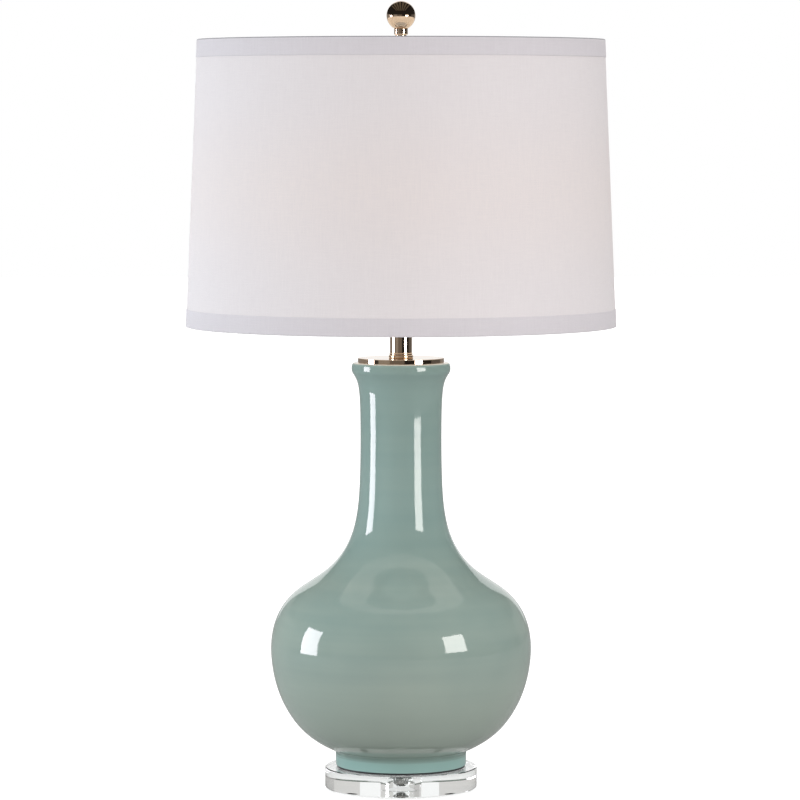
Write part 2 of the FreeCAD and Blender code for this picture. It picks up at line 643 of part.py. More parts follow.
def build_socket_interior():
    """Moulded insulator that holds the switch, the terminals and the contacts."""
    top = "interior_height"
    body = turned("socket_interior", INTERIOR, [
        ("interior_room", 0), ("interior_foot", 0), ("interior_radius", "interior_cone"),
        ("interior_radius", top), (0, top), (0, "interior_room_height"),
        ("interior_room", "interior_room_height")])
    primitive(body, "SubtractiveCylinder", "shaft_hole", "-Y",
              along="shaft_depth - interior_radius", up="switch_height",
              Radius="shaft_radius + shaft_fit", Height="interior_radius")
    primitive(body, "SubtractiveCylinder", "contact_hole", up=f"{top} - contact_shank",
              Radius="contact_shank_radius + contact_fit", Height="contact_shank")
    for towards, side in (("+X", 1), ("-X", -1)):
        seat = "(interior_radius - terminal_well)"
        primitive(body, "SubtractiveCylinder", "terminal_well", towards, across=f"{side} * {seat}",
                  up="terminal_height", Radius="terminal_head + terminal_room", Height="interior_radius")
        primitive(body, "SubtractiveCylinder", "terminal_hole", towards,
                  across=f"{side} * ({seat} - terminal_depth)", up="terminal_height",
                  Radius="terminal_shank + thread_fit", Height="interior_radius")
    return body


def build_terminal_screws():
    """The two wire screws, sunk in the sides of the interior."""
    body = new_body("terminal_screws", f"{INTERIOR} + terminal_height")
    seat, tip = "(interior_radius - terminal_well)", "(interior_radius - terminal_room)"
    start = f"({seat} - terminal_depth)"
    section = new_sketch(body, "screw_section")
    draw_outline(section, [(start, 0), (start, "terminal_shank"), (seat, "terminal_shank"),
                           (seat, "terminal_head"), (tip, "terminal_head"), (tip, 0)])
    screw = revolve(body, section, "screw")
    screw.ReferenceAxis = (section, ["H_Axis"])
    document.recompute()
    mirrored(body, "other_screw", [screw])
    return body


def build_centre_contact():
    """Riveted contact under the tip of the bulb."""
    return turned("centre_contact", INTERIOR_TOP, [
        (0, "-contact_shank"), ("contact_shank_radius", "-contact_shank"),
        ("contact_shank_radius", 0), ("contact_radius", 0), ("contact_radius", "contact_thickness"),
        (0, "contact_thickness")])


def build_screw_shell():
    """Thin threaded shell that the bulb screws into, hemmed inwards on top of the interior."""
    outer = THREAD_SHELL_RADIUS
    inner = f"({outer} - thread_shell_wall)"
    return turned("screw_shell", INTERIOR_TOP, [
        (f"{inner} - thread_shell_hem", 0), (outer, 0), (outer, "thread_shell_height"),
        (inner, "thread_shell_height"), (inner, "thread_shell_wall"),
        (f"{inner} - thread_shell_hem", "thread_shell_wall")])


def build_switch_shaft():
    """Steel shaft of the turn switch, out through the slot at the front."""
    body = new_body("switch_shaft", INTERIOR)
    primitive(body, "AdditiveCylinder", "shaft", "-Y", along="shaft_depth - interior_radius",
              up="switch_height", Radius="shaft_radius", Height="shaft_depth + shaft_reach")
    return body


def build_switch_knob():
    """Fluted knob on the end of the switch shaft."""
    body = new_body("switch_knob", f"{INTERIOR} + switch_height")
    section = new_sketch(body, "knob_section")
    draw_outline(section, [(0, 0), ("knob_radius", 0, "knob_round"),
                           ("knob_tip_radius", "knob_length", "knob_round"), (0, "knob_length")])
    revolve(body, section, "knob_turned")
    flute = primitive(body, "SubtractiveCylinder", "flute", across="knob_radius",
                      Radius="knob_flute_radius", Height="knob_length")
    around(body, "flutes", [flute], "knob_flutes")
    primitive(body, "SubtractiveCylinder", "shaft_hole", Radius="shaft_radius",
              Height="shaft_reach - knob_gap - (socket_radius - interior_radius)")
    body.Placement = FreeCAD.Placement(VECTOR(), TOWARDS["-Y"])
    bind(body, Placement__Base__y="-(socket_radius + knob_gap)",
         Placement__Base__z=f"{INTERIOR} + switch_height")
    document.recompute()
    return body


# ---------------------------------------------------------------- bulb

def build_bulb_contact():
    """Solder tip at the bottom of the bulb."""
    return turned("bulb_contact", BULB, [
        (0, 0), ("bulb_tip_radius", 0), ("bulb_tip_radius", "bulb_tip"), (0, "bulb_tip")])


def build_bulb_insulator():
    """Dark cone between the tip and the metal cap of the bulb."""
    return turned("bulb_insulator", BULB, [
        (0, "bulb_tip"), ("bulb_tip_radius", "bulb_tip"), ("bulb_cone_radius", "bulb_tip + bulb_cone"),
        (0, "bulb_tip + bulb_cone")])


def build_bulb_base():
    """Screw cap of the bulb: a cup around the glass neck."""
    inner, floor = "(bulb_thread_radius - bulb_cap_wall)", "(bulb_tip + bulb_cone)"
    top = f"({floor} + bulb_cap_height)"
    return turned("bulb_base", BULB, [
        (0, floor), ("bulb_thread_radius", floor), ("bulb_thread_radius", top), (inner, top),
        (inner, f"{floor} + bulb_cap_wall"), (0, f"{floor} + bulb_cap_wall")])


def build_bulb_glass():
    """Frosted pear-shaped envelope, open where its neck stands in the cap."""
    start = "(bulb_tip + bulb_cone + bulb_cap_wall)"
    wall, crown, belly = "glass_wall", "(bulb_length - glass_wall)", "(bulb_length - bulb_crown)"
    crown_round = "min(bulb_crown_round; bulb_radius - glass_wall / 2)"
    return turned("bulb_glass", BULB, [
        ("bulb_neck_radius", start), ("bulb_neck_radius", "bulb_neck_top", "bulb_neck_round"),
        ("bulb_radius", belly, "bulb_belly_round"),
        ("bulb_radius", "bulb_length", crown_round), (0, "bulb_length"), (0, crown),
        (f"bulb_radius - {wall}", crown, f"{crown_round} - {wall}"),
        (f"bulb_radius - {wall}", belly, f"bulb_belly_round - {wall}"),
        (f"bulb_neck_radius - {wall}", "bulb_neck_top", f"bulb_neck_round + {wall}"),
        (f"bulb_neck_radius - {wall}", start)])


# ---------------------------------------------------------------- shade

def shade_band(label, low, high, setback, thickness):
    """Band of the tapered wall between two heights, from a setback inwards by a thickness."""
    inside = f"({setback} + {thickness})"
    return turned(label, SHADE, [
        (shade_radius(low, inside), low), (shade_radius(low, setback), low),
        (shade_radius(high, setback), high), (shade_radius(high, inside), high)])


def build_spider_fitter():
    """Welded wire frame: top ring, three cranked arms, one to the back, and the hub on the harp."""
    body = new_body("spider_fitter", HUB_SEAT)
    ring_height = f"(spider_hub_thickness + shade_drop - {FRAME_EDGE})"
    ring_radius = shade_radius(f"(shade_height - {FRAME_EDGE})", FRAME_SETBACK)
    arm_height = "spider_hub_thickness / 2"
    path = new_sketch(body, "arm_path", "YZ_Plane")
    draw_outline(path, [(0, arm_height), (f"{ring_radius} - spider_rise_run", arm_height, "spider_bend"),
                        (ring_radius, ring_height)], closed=False)
    section = new_sketch(body, "arm_section")
    draw_circle(section, 0, arm_height, "spider_wire_radius")
    document.recompute()
    arm = sweep(body, "arm", section, path)
    around(body, "arms", [arm], 3)
    rim = new_sketch(body, "ring_section")
    draw_circle(rim, ring_radius, ring_height, "frame_wire_radius")
    revolve(body, rim, "top_ring")
    primitive(body, "AdditiveCylinder", "hub", Radius="spider_hub_radius", Height="spider_hub_thickness")
    primitive(body, "SubtractiveCylinder", "stud_hole", up="-spider_wire_radius",
              Radius="stud_radius + spider_hub_fit",
              Height="spider_hub_thickness + 2 * spider_wire_radius")
    primitive(body, "SubtractiveCylinder", "underside", up="-2 * spider_wire_radius",
              Radius="spider_hub_radius", Height="2 * spider_wire_radius")
    primitive(body, "SubtractiveCylinder", "topside", up="spider_hub_thickness",
              Radius="spider_hub_radius", Height="2 * spider_wire_radius")
    return body


def build_shade_bottom_ring():
    """Wire ring inside the lower edge of the shade."""
    body = new_body("shade_bottom_ring", SHADE)
    section = new_sketch(body, "ring_section")
    draw_circle(section, shade_radius(FRAME_EDGE, FRAME_SETBACK), FRAME_EDGE, "frame_wire_radius")
    revolve(body, section, "bottom_ring")
    return body


def build_shade_liner():
    """Stiff white lining that carries the cloth."""
    return shade_band("shade_liner", "0", "shade_height", LINER_SETBACK, "liner_thickness")


def build_shade_fabric():
    """Cloth cover of the shade."""
    return shade_band("shade_fabric", "0", "shade_height", FABRIC_SETBACK, "fabric_thickness")


def build_shade_top_trim():
    """Folded cloth band round the upper edge."""
    return shade_band("shade_top_trim", "(shade_height - trim_height)", "shade_height", "0",
                      "trim_thickness")


def build_shade_bottom_trim():
    """Folded cloth band round the lower edge."""
    return shade_band("shade_bottom_trim", "0", "trim_height", "0", "trim_thickness")


# ---------------------------------------------------------------- finial

def build_finial_neck():
    """Threaded stem with a base flange, a collar under the ball and a tenon into it."""
    waist = "finial_base"
    collar = "(finial_base + finial_stem)"
    top = f"({collar} + finial_collar)"
    bore = "(stud_radius + thread_fit)"
    return turned("finial_neck", FINIAL, [
        (bore, 0), ("finial_base_radius", 0, "finial_round"),
        ("finial_base_radius", waist, "finial_round"), ("finial_stem_radius", waist),
        ("finial_stem_radius", collar), ("finial_collar_radius", collar, "finial_round"),
        ("finial_collar_radius", top), ("finial_tenon_radius", top),
        ("finial_tenon_radius", f"{top} + finial_tenon"), (0, f"{top} + finial_tenon"),
        (0, "finial_thread_depth"), (bore, "finial_thread_depth")])


def build_finial_ball():
    """Polished ball, flat where it meets the collar."""
    body = new_body("finial_ball", f"{BALL} + sqrt(finial_ball_radius ^ 2 - finial_collar_radius ^ 2)")
    primitive(body, "AdditiveSphere", "ball", Radius="finial_ball_radius",
              Angle1="-acos(finial_collar_radius / finial_ball_radius)")
    primitive(body, "SubtractiveCylinder", "tenon_hole",
              up="-sqrt(finial_ball_radius ^ 2 - finial_collar_radius ^ 2)",
              Radius="finial_tenon_radius + finial_tenon_fit", Height="finial_tenon + finial_tenon_fit")
    return body


def build_lamp():
    """All pieces of the lamp, from the surface up."""
    return [
        build_base_bumpers(), build_base_disc(), build_base_washer(), build_base_lock_washer(),
        build_base_nut(), build_lamp_pipe(), build_foot_gasket(), build_vase_body(),
        build_cord_bushing(), build_vase_cap(), build_neck_ring(), build_neck_tube(),
        build_harp_saddle(), build_harp_bow(), build_harp_sleeve("harp_sleeve_left", -1),
        build_harp_sleeve("harp_sleeve_right", 1), build_harp_stud(), build_socket_cap(),
        build_socket_set_screw(), build_socket_shell(), build_socket_liner(),
        build_socket_interior(), build_terminal_screws(), build_centre_contact(),
        build_screw_shell(), build_switch_shaft(), build_switch_knob(), build_bulb_contact(),
        build_bulb_insulator(), build_bulb_base(), build_bulb_glass(), build_spider_fitter(),
        build_shade_bottom_ring(), build_shade_liner(), build_shade_fabric(),
        build_shade_top_trim(), build_shade_bottom_trim(), build_finial_neck(),
        build_finial_ball(),
    ]


def check_document():
    """Stop at the first feature that failed."""
    for item in document.Objects:
        faults = [word for word in item.State if word in ("Invalid", "Error")]
        if faults:
            raise ValueError(f"{item.Label} failed: {item.getStatusString()}")


def check_piece(body):
    """Stop if a piece is empty or not a valid solid."""
    if body.Shape.isNull() or not body.Shape.isValid() or not body.Shape.Solids:
        raise ValueError(f"{body.Label} is not a valid solid")
    if body.Shape.Volume <= 0:
        raise ValueError(f"{body.Label} has no volume")


pieces = build_lamp()
document.recompute()
check_document()
for piece in pieces:
    check_piece(piece)
os.makedirs("parts", exist_ok=True)
for piece in pieces:
    piece.Shape.exportStep(f"parts/{piece.Label}.step")
    print(piece.Label, len(piece.Shape.Solids), round(piece.Shape.Volume, 1),
          round(piece.Shape.BoundBox.ZMin, 2), round(piece.Shape.BoundBox.ZMax, 2))
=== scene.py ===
"""Looks of a table lamp: a celadon bottle vase on a clear disc, with a linen drum shade.

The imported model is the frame. Each sub-assembly below lays finer pieces over its nodes.
Pieces are worked out in millimetres, with seats from the frame's own boxes, and each mesh is
written in metres, in the frame's place. Finishes and the studio have their sizes in metres.
"""

from __future__ import annotations

import logging
import math
from collections.abc import Callable, Sequence
from dataclasses import dataclass, replace
from enum import Enum
from typing import ClassVar

import bmesh
import bpy
import numpy as np
from mathutils import Matrix, Vector


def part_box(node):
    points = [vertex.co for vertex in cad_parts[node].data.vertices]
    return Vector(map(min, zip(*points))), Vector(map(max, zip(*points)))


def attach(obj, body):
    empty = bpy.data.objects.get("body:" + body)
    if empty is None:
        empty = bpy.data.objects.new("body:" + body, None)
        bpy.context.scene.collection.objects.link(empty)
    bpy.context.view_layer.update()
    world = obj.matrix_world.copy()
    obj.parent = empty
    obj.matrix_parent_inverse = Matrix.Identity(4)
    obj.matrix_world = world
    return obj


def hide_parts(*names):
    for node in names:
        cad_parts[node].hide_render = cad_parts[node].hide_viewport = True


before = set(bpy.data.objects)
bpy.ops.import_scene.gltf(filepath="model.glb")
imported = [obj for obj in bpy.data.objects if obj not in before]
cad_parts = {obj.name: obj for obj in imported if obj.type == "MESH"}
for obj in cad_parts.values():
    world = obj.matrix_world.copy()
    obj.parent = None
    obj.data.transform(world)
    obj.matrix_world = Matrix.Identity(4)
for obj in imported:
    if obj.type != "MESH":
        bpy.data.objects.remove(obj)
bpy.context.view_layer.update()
LOG = logging.getLogger("table_lamp")
METRE = 0.001
Array = np.ndarray
Colour = tuple[float, float, float]
Link = bpy.types.NodeSocket
Ripple = Callable[[Array, Array, Array], Array]


class Body(Enum):
    """The bodies that a piece can ride on."""

    LAMP = "lamp"
    LEFT_SLEEVE = "left_sleeve"
    RIGHT_SLEEVE = "right_sleeve"
    SWITCH = "switch"
    BULB = "bulb"
    SHADE = "shade"
    FINIAL = "finial"


class Towards(Enum):
    """Turns that lay a piece made along +Z along another axis."""

    FRONT = ((1, 0, 0), (0, 0, -1), (0, 1, 0))
    BACK = ((1, 0, 0), (0, 0, 1), (0, -1, 0))


# ------------------------------------------------------------------ lines and sections


def span(node: str, axis: int = 2) -> tuple[float, float]:
    """Lowest and highest place of a node of the frame along an axis, in millimetres."""
    low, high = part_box(node)
    return low[axis] / METRE, high[axis] / METRE


def middle_of(node: str) -> float:
    """Height of a node's middle."""
    return sum(span(node)) / 2


def run_along(points: Array) -> Array:
    """Distance run along a line of points, from nought at its first point."""
    return np.concatenate([[0.0], np.cumsum(np.linalg.norm(np.diff(points, axis=0), axis=1))])


def unit(rows: Array) -> Array:
    """Each row divided by its length."""
    return rows / np.linalg.norm(rows, axis=1, keepdims=True)


def upright(radius: float, rise: Array) -> Array:
    """Rows of one radius at many heights."""
    return np.stack([np.full_like(rise, radius), rise], axis=1)


def circle(radius: float, turn: Array) -> Array:
    """Points of a circle at angles in radians."""
    return radius * np.stack([np.cos(turn), np.sin(turn)], axis=1)


def rounded(corners: Sequence[tuple[float, ...]], closed: bool = True, steps: int = 6) -> Array:
    """Line through corners, with an arc at each corner that has a radius as its third number.

    An arc of radius r leaves a corner of half angle h at r / tan(h) from it, round a centre
    at r / sin(h) along the corner's bisector. A point is added on each side just outside the
    arc, so that the flats beside it stay flat under smooth shading.

    Args:
        corners: (across, up) or (across, up, radius).
        closed: whether the last corner leads back to the first.
        steps: pieces of an arc of a quarter turn.

    Returns:
        The line's points, as rows of (across, up).
    """
    points = np.array([corner[:2] for corner in corners], float)
    pieces: list[Array] = []
    for index, corner in enumerate(corners):
        if len(corner) < 3 or not (closed or 0 < index < len(corners) - 1):
            pieces.append(points[index][None])
            continue
        radius = corner[2]
        back, onward = points[index - 1] - points[index], points[(index + 1) % len(points)] - points[index]
        lengths = np.linalg.norm(back), np.linalg.norm(onward)
        back, onward = back / lengths[0], onward / lengths[1]
        half = math.acos(float(np.clip(back @ onward, -1, 1))) / 2
        reach, turn = radius / math.tan(half), math.pi - 2 * half
        centre = points[index] + unit((back + onward)[None])[0] * radius / math.sin(half)
        start, finish = points[index] + back * reach - centre, points[index] + onward * reach - centre
        share = np.linspace(0, 1, max(2, math.ceil(steps * turn / (math.pi / 2))) + 1)[:, None]
        arc = centre + (start * np.sin((1 - share) * turn) + finish * np.sin(share * turn)) / math.sin(turn)
        before, after = (min(0.25 * radius, 0.4 * (length - reach)) for length in lengths)
        pieces += [arc[:1] + back * before] if before > 1e-4 else []
        pieces.append(arc)
        pieces += [arc[-1:] + onward * after] if after > 1e-4 else []
    return np.vstack(pieces)


def ring_section(bore: float, radius: float, low: float, high: float, inner: float, outer: float,
                 steps: int = 6) -> Array:
    """Section of a flat ring, rounded by one radius at its bore and by one outside."""
    return rounded([(bore, low, inner), (radius, low, outer), (radius, high, outer), (bore, high, inner)],
                   steps=steps)


def clamped_cubic(poles: Array, samples: int) -> Array:
    """Cubic B-spline with evenly spaced inner knots, clamped at both ends.

    A point is the sum of the control points times their basis functions. A basis function of
    a degree is two of the degree below, blended by how far the parameter is between their knots.

    Args:
        poles: control points, one to a row.
        samples: number of points to return.

    Returns:
        Points evenly spaced in the parameter.
    """
    knots = np.concatenate([np.zeros(3), np.linspace(0, 1, len(poles) - 2), np.ones(3)])
    at = np.linspace(0, 1 - 1e-12, samples)[:, None]
    basis = ((knots[:-1] <= at) & (at < knots[1:])).astype(float)
    for degree in (1, 2, 3):
        low, high = knots[: -degree - 1], knots[degree + 1:]
        rise, fall = knots[degree:-1] - low, high - knots[1:-degree]
        up = np.where(rise > 0, (at - low) / np.where(rise > 0, rise, 1), 0)
        down = np.where(fall > 0, (high - at) / np.where(fall > 0, fall, 1), 0)
        basis = up * basis[:, :-1] + down * basis[:, 1:]
    return basis @ poles


def resampled(points: Array, spacing: float) -> Array:
    """The same line with its long stretches cut into pieces no longer than the spacing."""
    run = run_along(points)
    at = np.unique(np.concatenate([run, np.arange(0, run[-1], spacing)]).round(7))
    return np.stack([np.interp(at, run, points[:, axis]) for axis in range(points.shape[1])], axis=1)


def disc_section(radius: float, count: int) -> Array:
    """Points of a circle, counter-clockwise."""
    return circle(radius, np.arange(count) * 2 * math.pi / count)


def block_section(width: float, height: float, edge: float) -> Array:
    """Points of a rectangle with rounded edges, counter-clockwise."""
    x, y = width / 2, height / 2
    return rounded([(x, -y, edge), (x, y, edge), (-x, y, edge), (-x, -y, edge)], steps=3)


def in_plane(line: Array, height: float = 0.0, along: int = 0) -> Array:
    """Path of a line of (across, up) in the plane through X (0) or Y (1) and Z, raised."""
    path = np.zeros((len(line), 3))
    path[:, along], path[:, 2] = line[:, 0], line[:, 1] + height
    return path


# ------------------------------------------------------------------ surfaces


@dataclass(frozen=True)
class Surface:
    """A grid of points in millimetres, (around, along, xyz), facing round cross along."""

    points: Array
    wrap_around: bool = True
    wrap_along: bool = False

    def moved(self, x: float = 0.0, y: float = 0.0, z: float = 0.0) -> Surface:
        """The surface moved."""
        return replace(self, points=self.points + np.array([x, y, z]))

    def laid(self, towards: Towards, height: float) -> Surface:
        """The surface turned from +Z towards an axis, then raised."""
        return replace(self, points=self.points @ np.array(towards.value, float).T).moved(z=height)

    def spun(self, angle: float) -> Surface:
        """The surface turned about +Z by an angle in degrees."""
        c, s = math.cos(math.radians(angle)), math.sin(math.radians(angle))
        return replace(self, points=self.points @ np.array([[c, s, 0], [-s, c, 0], [0, 0, 1]]))

    def faces(self) -> Array:
        """Corner numbers of each four-sided cell, counter-clockwise seen from outside."""
        around, along = self.points.shape[:2]
        i = np.arange(around if self.wrap_around else around - 1)[:, None]
        j = np.arange(along if self.wrap_along else along - 1)[None, :]
        right, above = (i + 1) % around, (j + 1) % along
        cells = [i * along + j, right * along + j, right * along + above, i * along + above]
        return np.stack(cells, axis=-1).reshape(-1, 4)

    def texture_places(self) -> Array:
        """Texture place of each cell's corners: mean distance around and along, in millimetres."""
        grid = np.concatenate([self.points, self.points[:1]]) if self.wrap_around else self.points
        if self.wrap_along:
            grid = np.concatenate([grid, grid[:, :1]], axis=1)
        u, v = (np.linalg.norm(np.diff(grid, axis=axis), axis=2).mean(axis=1 - axis) for axis in (0, 1))
        place = np.stack(np.meshgrid(np.cumsum([0, *u]), np.cumsum([0, *v]), indexing="ij"), axis=-1)
        corners = [place[:-1, :-1], place[1:, :-1], place[1:, 1:], place[:-1, 1:]]
        return np.stack(corners, axis=2).reshape(-1, 4, 2)


def lathe(section: Array, around: int = 96, closed: bool = True, ripple: Ripple | None = None) -> Surface:
    """Section turned about the Z axis.

    A point is (radius cos a, radius sin a, height), with a the angle round the axis. A ripple
    takes the arrays of a, radius and height and gives each point's own radius.

    Args:
        section: rows of (radius, height), with the solid on the left of the line.
        around: number of points in the round.
        closed: whether the section's last point leads back to its first.
        ripple: rule for a radius that changes round the axis.

    Returns:
        The turned surface.
    """
    angle = np.arange(around)[:, None] * 2 * math.pi / around
    radius, height = (np.broadcast_to(section[None, :, axis], (around, len(section))) for axis in (0, 1))
    if ripple:
        radius = ripple(angle, radius, height)
    points = np.stack([radius * np.cos(angle), radius * np.sin(angle), height], axis=-1)
    return Surface(points, wrap_along=closed)


def swept(path: Array, section: Array, up: Sequence[float], scale: Array | None = None) -> Surface:
    """Section carried along an open path, with a flat end at each end.

    A point is the path's point, plus the section's first number along the side (up cross
    tangent) and its second along the tangent cross that side.

    Args:
        path: points of the path.
        section: rows of two numbers, counter-clockwise.
        up: a direction that the path never follows.
        scale: size of the section at each point of the path.

    Returns:
        The swept surface.
    """
    tangent = unit(np.gradient(path, run_along(path), axis=0))
    side = unit(np.cross(np.array(up, float), tangent))
    over = np.cross(tangent, side)
    path, side, over = (np.concatenate([item[:1], item, item[-1:]]) for item in (path, side, over))
    size = np.concatenate([[0.0], np.ones(len(path) - 2) if scale is None else scale, [0.0]])
    offset = section[:, 0, None, None] * side + section[:, 1, None, None] * over
    return Surface(path + offset * size[None, :, None])


def thread(pitch: float, depth: float, low: float, high: float, least: float) -> Ripple:
    """Rule for a screw thread between two heights.

    The depth taken off the radius is a triangle wave of height / pitch less the turn, and it
    fades out over one pitch at both ends.

    Args:
        pitch: height of one turn.
        depth: height of the thread's teeth.
        low: where the thread starts.
        high: where the thread ends.
        least: radius below which a point isn't threaded, such as a bore.

    Returns:
        A ripple for lathe().
    """

    def cut(angle: Array, radius: Array, height: Array) -> Array:
        tooth = np.abs(2 * ((height / pitch - angle / (2 * math.pi)) % 1.0) - 1)
        fade = np.clip(np.minimum(height - low, high - height) / pitch, 0, 1)
        return np.where(radius > least, radius - depth * tooth * fade, radius)

    return cut


def flutes(count: int, depth: float, least: float, share: float) -> Ripple:
    """Rule for grooves along a grip.

    Each groove takes off depth times one less the square of the distance from its middle,
    over the share of the round that the grooves take up.

    Args:
        count: number of grooves.
        depth: depth of a groove.
        least: radius below which a point isn't grooved.
        share: part of the round that is groove.

    Returns:
        A ripple for lathe().
    """

    def cut(angle: Array, radius: Array, height: Array) -> Array:
        phase = np.abs((angle * count / (2 * math.pi)) % 1.0 - 0.5) * 2 / share
        return radius - depth * np.clip(1 - phase**2, 0, 1) * np.clip((radius - least) / depth, 0, 1)

    return cut


def hexagon(apothem: float, least: float) -> Ripple:
    """Rule for six flats: the radius is cut to apothem / cos of the angle from the nearest flat."""

    def cut(angle: Array, radius: Array, height: Array) -> Array:
        from_flat = (angle % (math.pi / 3)) - math.pi / 6
        return np.where(radius > least, np.minimum(radius, apothem / np.cos(from_flat)), radius)

    return cut


def rod(radius: float, start: float, finish: float, around: int = 48) -> Surface:
    """Plain closed rod along Z, for cutting holes."""
    return lathe(np.array([(0, start), (radius, start), (radius, finish), (0, finish)]), around)


def box_surface(low: Sequence[float], high: Sequence[float]) -> Surface:
    """Closed box between two corners, for cutting slots: four sides that close on its middle line."""
    (x0, y0, z0), (x1, y1, z1) = low, high
    rim = np.array([(x1, y0), (x1, y1), (x0, y1), (x0, y0)])
    middle = np.broadcast_to([(x0 + x1) / 2, (y0 + y1) / 2], (4, 2))
    height = np.broadcast_to([z0, z0, z1, z1], (4, 4))[..., None]
    return Surface(np.concatenate([np.stack([middle, rim, rim, middle], axis=1), height], axis=2))


# ------------------------------------------------------------------ meshes


def make_mesh(name: str, surfaces: Sequence[Surface], crease: float = 32.0) -> bpy.types.Object:
    """One object from surfaces, in metres, with poles merged and sharp edges above a crease angle.

    Args:
        name: name of the object and its mesh.
        surfaces: the object's surfaces.
        crease: angle in degrees between faces above which their edge is sharp.

    Returns:
        The new object, at the origin.
    """
    starts = np.cumsum([0] + [surface.points[..., 0].size for surface in surfaces])
    vertices = np.concatenate([surface.points.reshape(-1, 3) for surface in surfaces]) * METRE
    faces = np.concatenate([surface.faces() + start for surface, start in zip(surfaces, starts)])
    places = np.concatenate([surface.texture_places() for surface in surfaces]) * METRE
    mesh = bpy.data.meshes.new(name)
    mesh.from_pydata(vertices.tolist(), [], faces.tolist())
    mesh.uv_layers.new(name="Surface").data.foreach_set("uv", places.astype(np.float32).ravel())
    tidy_mesh(mesh, crease)
    made = bpy.data.objects.new(name, mesh)
    bpy.context.scene.collection.objects.link(made)
    return made


def tidy_mesh(mesh: bpy.types.Mesh, crease: float) -> None:
    """Merge doubled points, drop faces of no size, and set the smooth shading."""
    work = bmesh.new()
    work.from_mesh(mesh)
    bmesh.ops.remove_doubles(work, verts=work.verts, dist=2e-7)
    bmesh.ops.dissolve_degenerate(work, edges=work.edges, dist=1e-8)
    work.to_mesh(mesh)
    work.free()
    mesh.shade_smooth()
    mesh.set_sharp_from_angle(angle=math.radians(crease))
    mesh.update()


def carve(target: bpy.types.Object, cutters: Sequence[Surface], crease: float) -> None:
    """Cut solids away from an object.

    Args:
        target: the object whose mesh is changed.
        cutters: closed surfaces to take away.
        crease: angle in degrees above which an edge is sharp.
    """
    tool = make_mesh(f"{target.name}_cutter", cutters)
    modifier = target.modifiers.new("cut", "BOOLEAN")
    modifier.operation, modifier.solver, modifier.object = "DIFFERENCE", "EXACT", tool
    cut = bpy.data.meshes.new_from_object(target.evaluated_get(bpy.context.evaluated_depsgraph_get()))
    target.modifiers.clear()
    old, target.data = target.data, cut
    bpy.data.meshes.remove(old)
    cut.name = target.name
    bpy.data.meshes.remove(tool.data)
    tidy_mesh(cut, crease)


def dress(name: str, surfaces: Sequence[Surface], finish: Finish, *nodes: str, body: Body = Body.LAMP,
          crease: float = 32.0, cutters: Sequence[Surface] = ()) -> None:
    """Make one piece, give it its finish and the nodes it stands for, and report it.

    Args:
        name: the piece's name.
        surfaces: its surfaces.
        finish: its finish.
        nodes: nodes of the frame that it replaces.
        body: the body it rides on.
        crease: angle in degrees above which its edges are sharp.
        cutters: closed surfaces to take away.
    """
    piece = make_mesh(name, surfaces, crease)
    if cutters:
        carve(piece, cutters, crease)
    piece.data.materials.append(finish.material())
    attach(piece, body.value)
    if nodes:
        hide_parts(*nodes)
    LOG.info("%s: %d faces, %s, for %s", name, len(piece.data.polygons), finish.slot,
             ", ".join(nodes) or "no node")


def repaint(node: str, finish: Finish) -> None:
    """Give a node of the frame that stays a procedural material."""
    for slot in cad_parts[node].material_slots:
        slot.material = finish.material()
    LOG.info("%s: kept, %s", node, finish.slot)


# ------------------------------------------------------------------ shader nodes


class Effect(Enum):
    """Shared effects, each a node group with a Vector and the numbers that are named here."""

    DRIFT = ("tone_drift", "Scale", "Detail", "Low", "High")
    GRAIN = ("fine_grain", "Scale")
    BRUSHED = ("brushed_lines", "Scale", "Stretch")
    WEAVE = ("plain_weave", "Pitch", "Slub")
    DUST = ("settled_dust", "Scale", "Amount")
    WEAR = ("edge_wear", "Scale", "Amount")


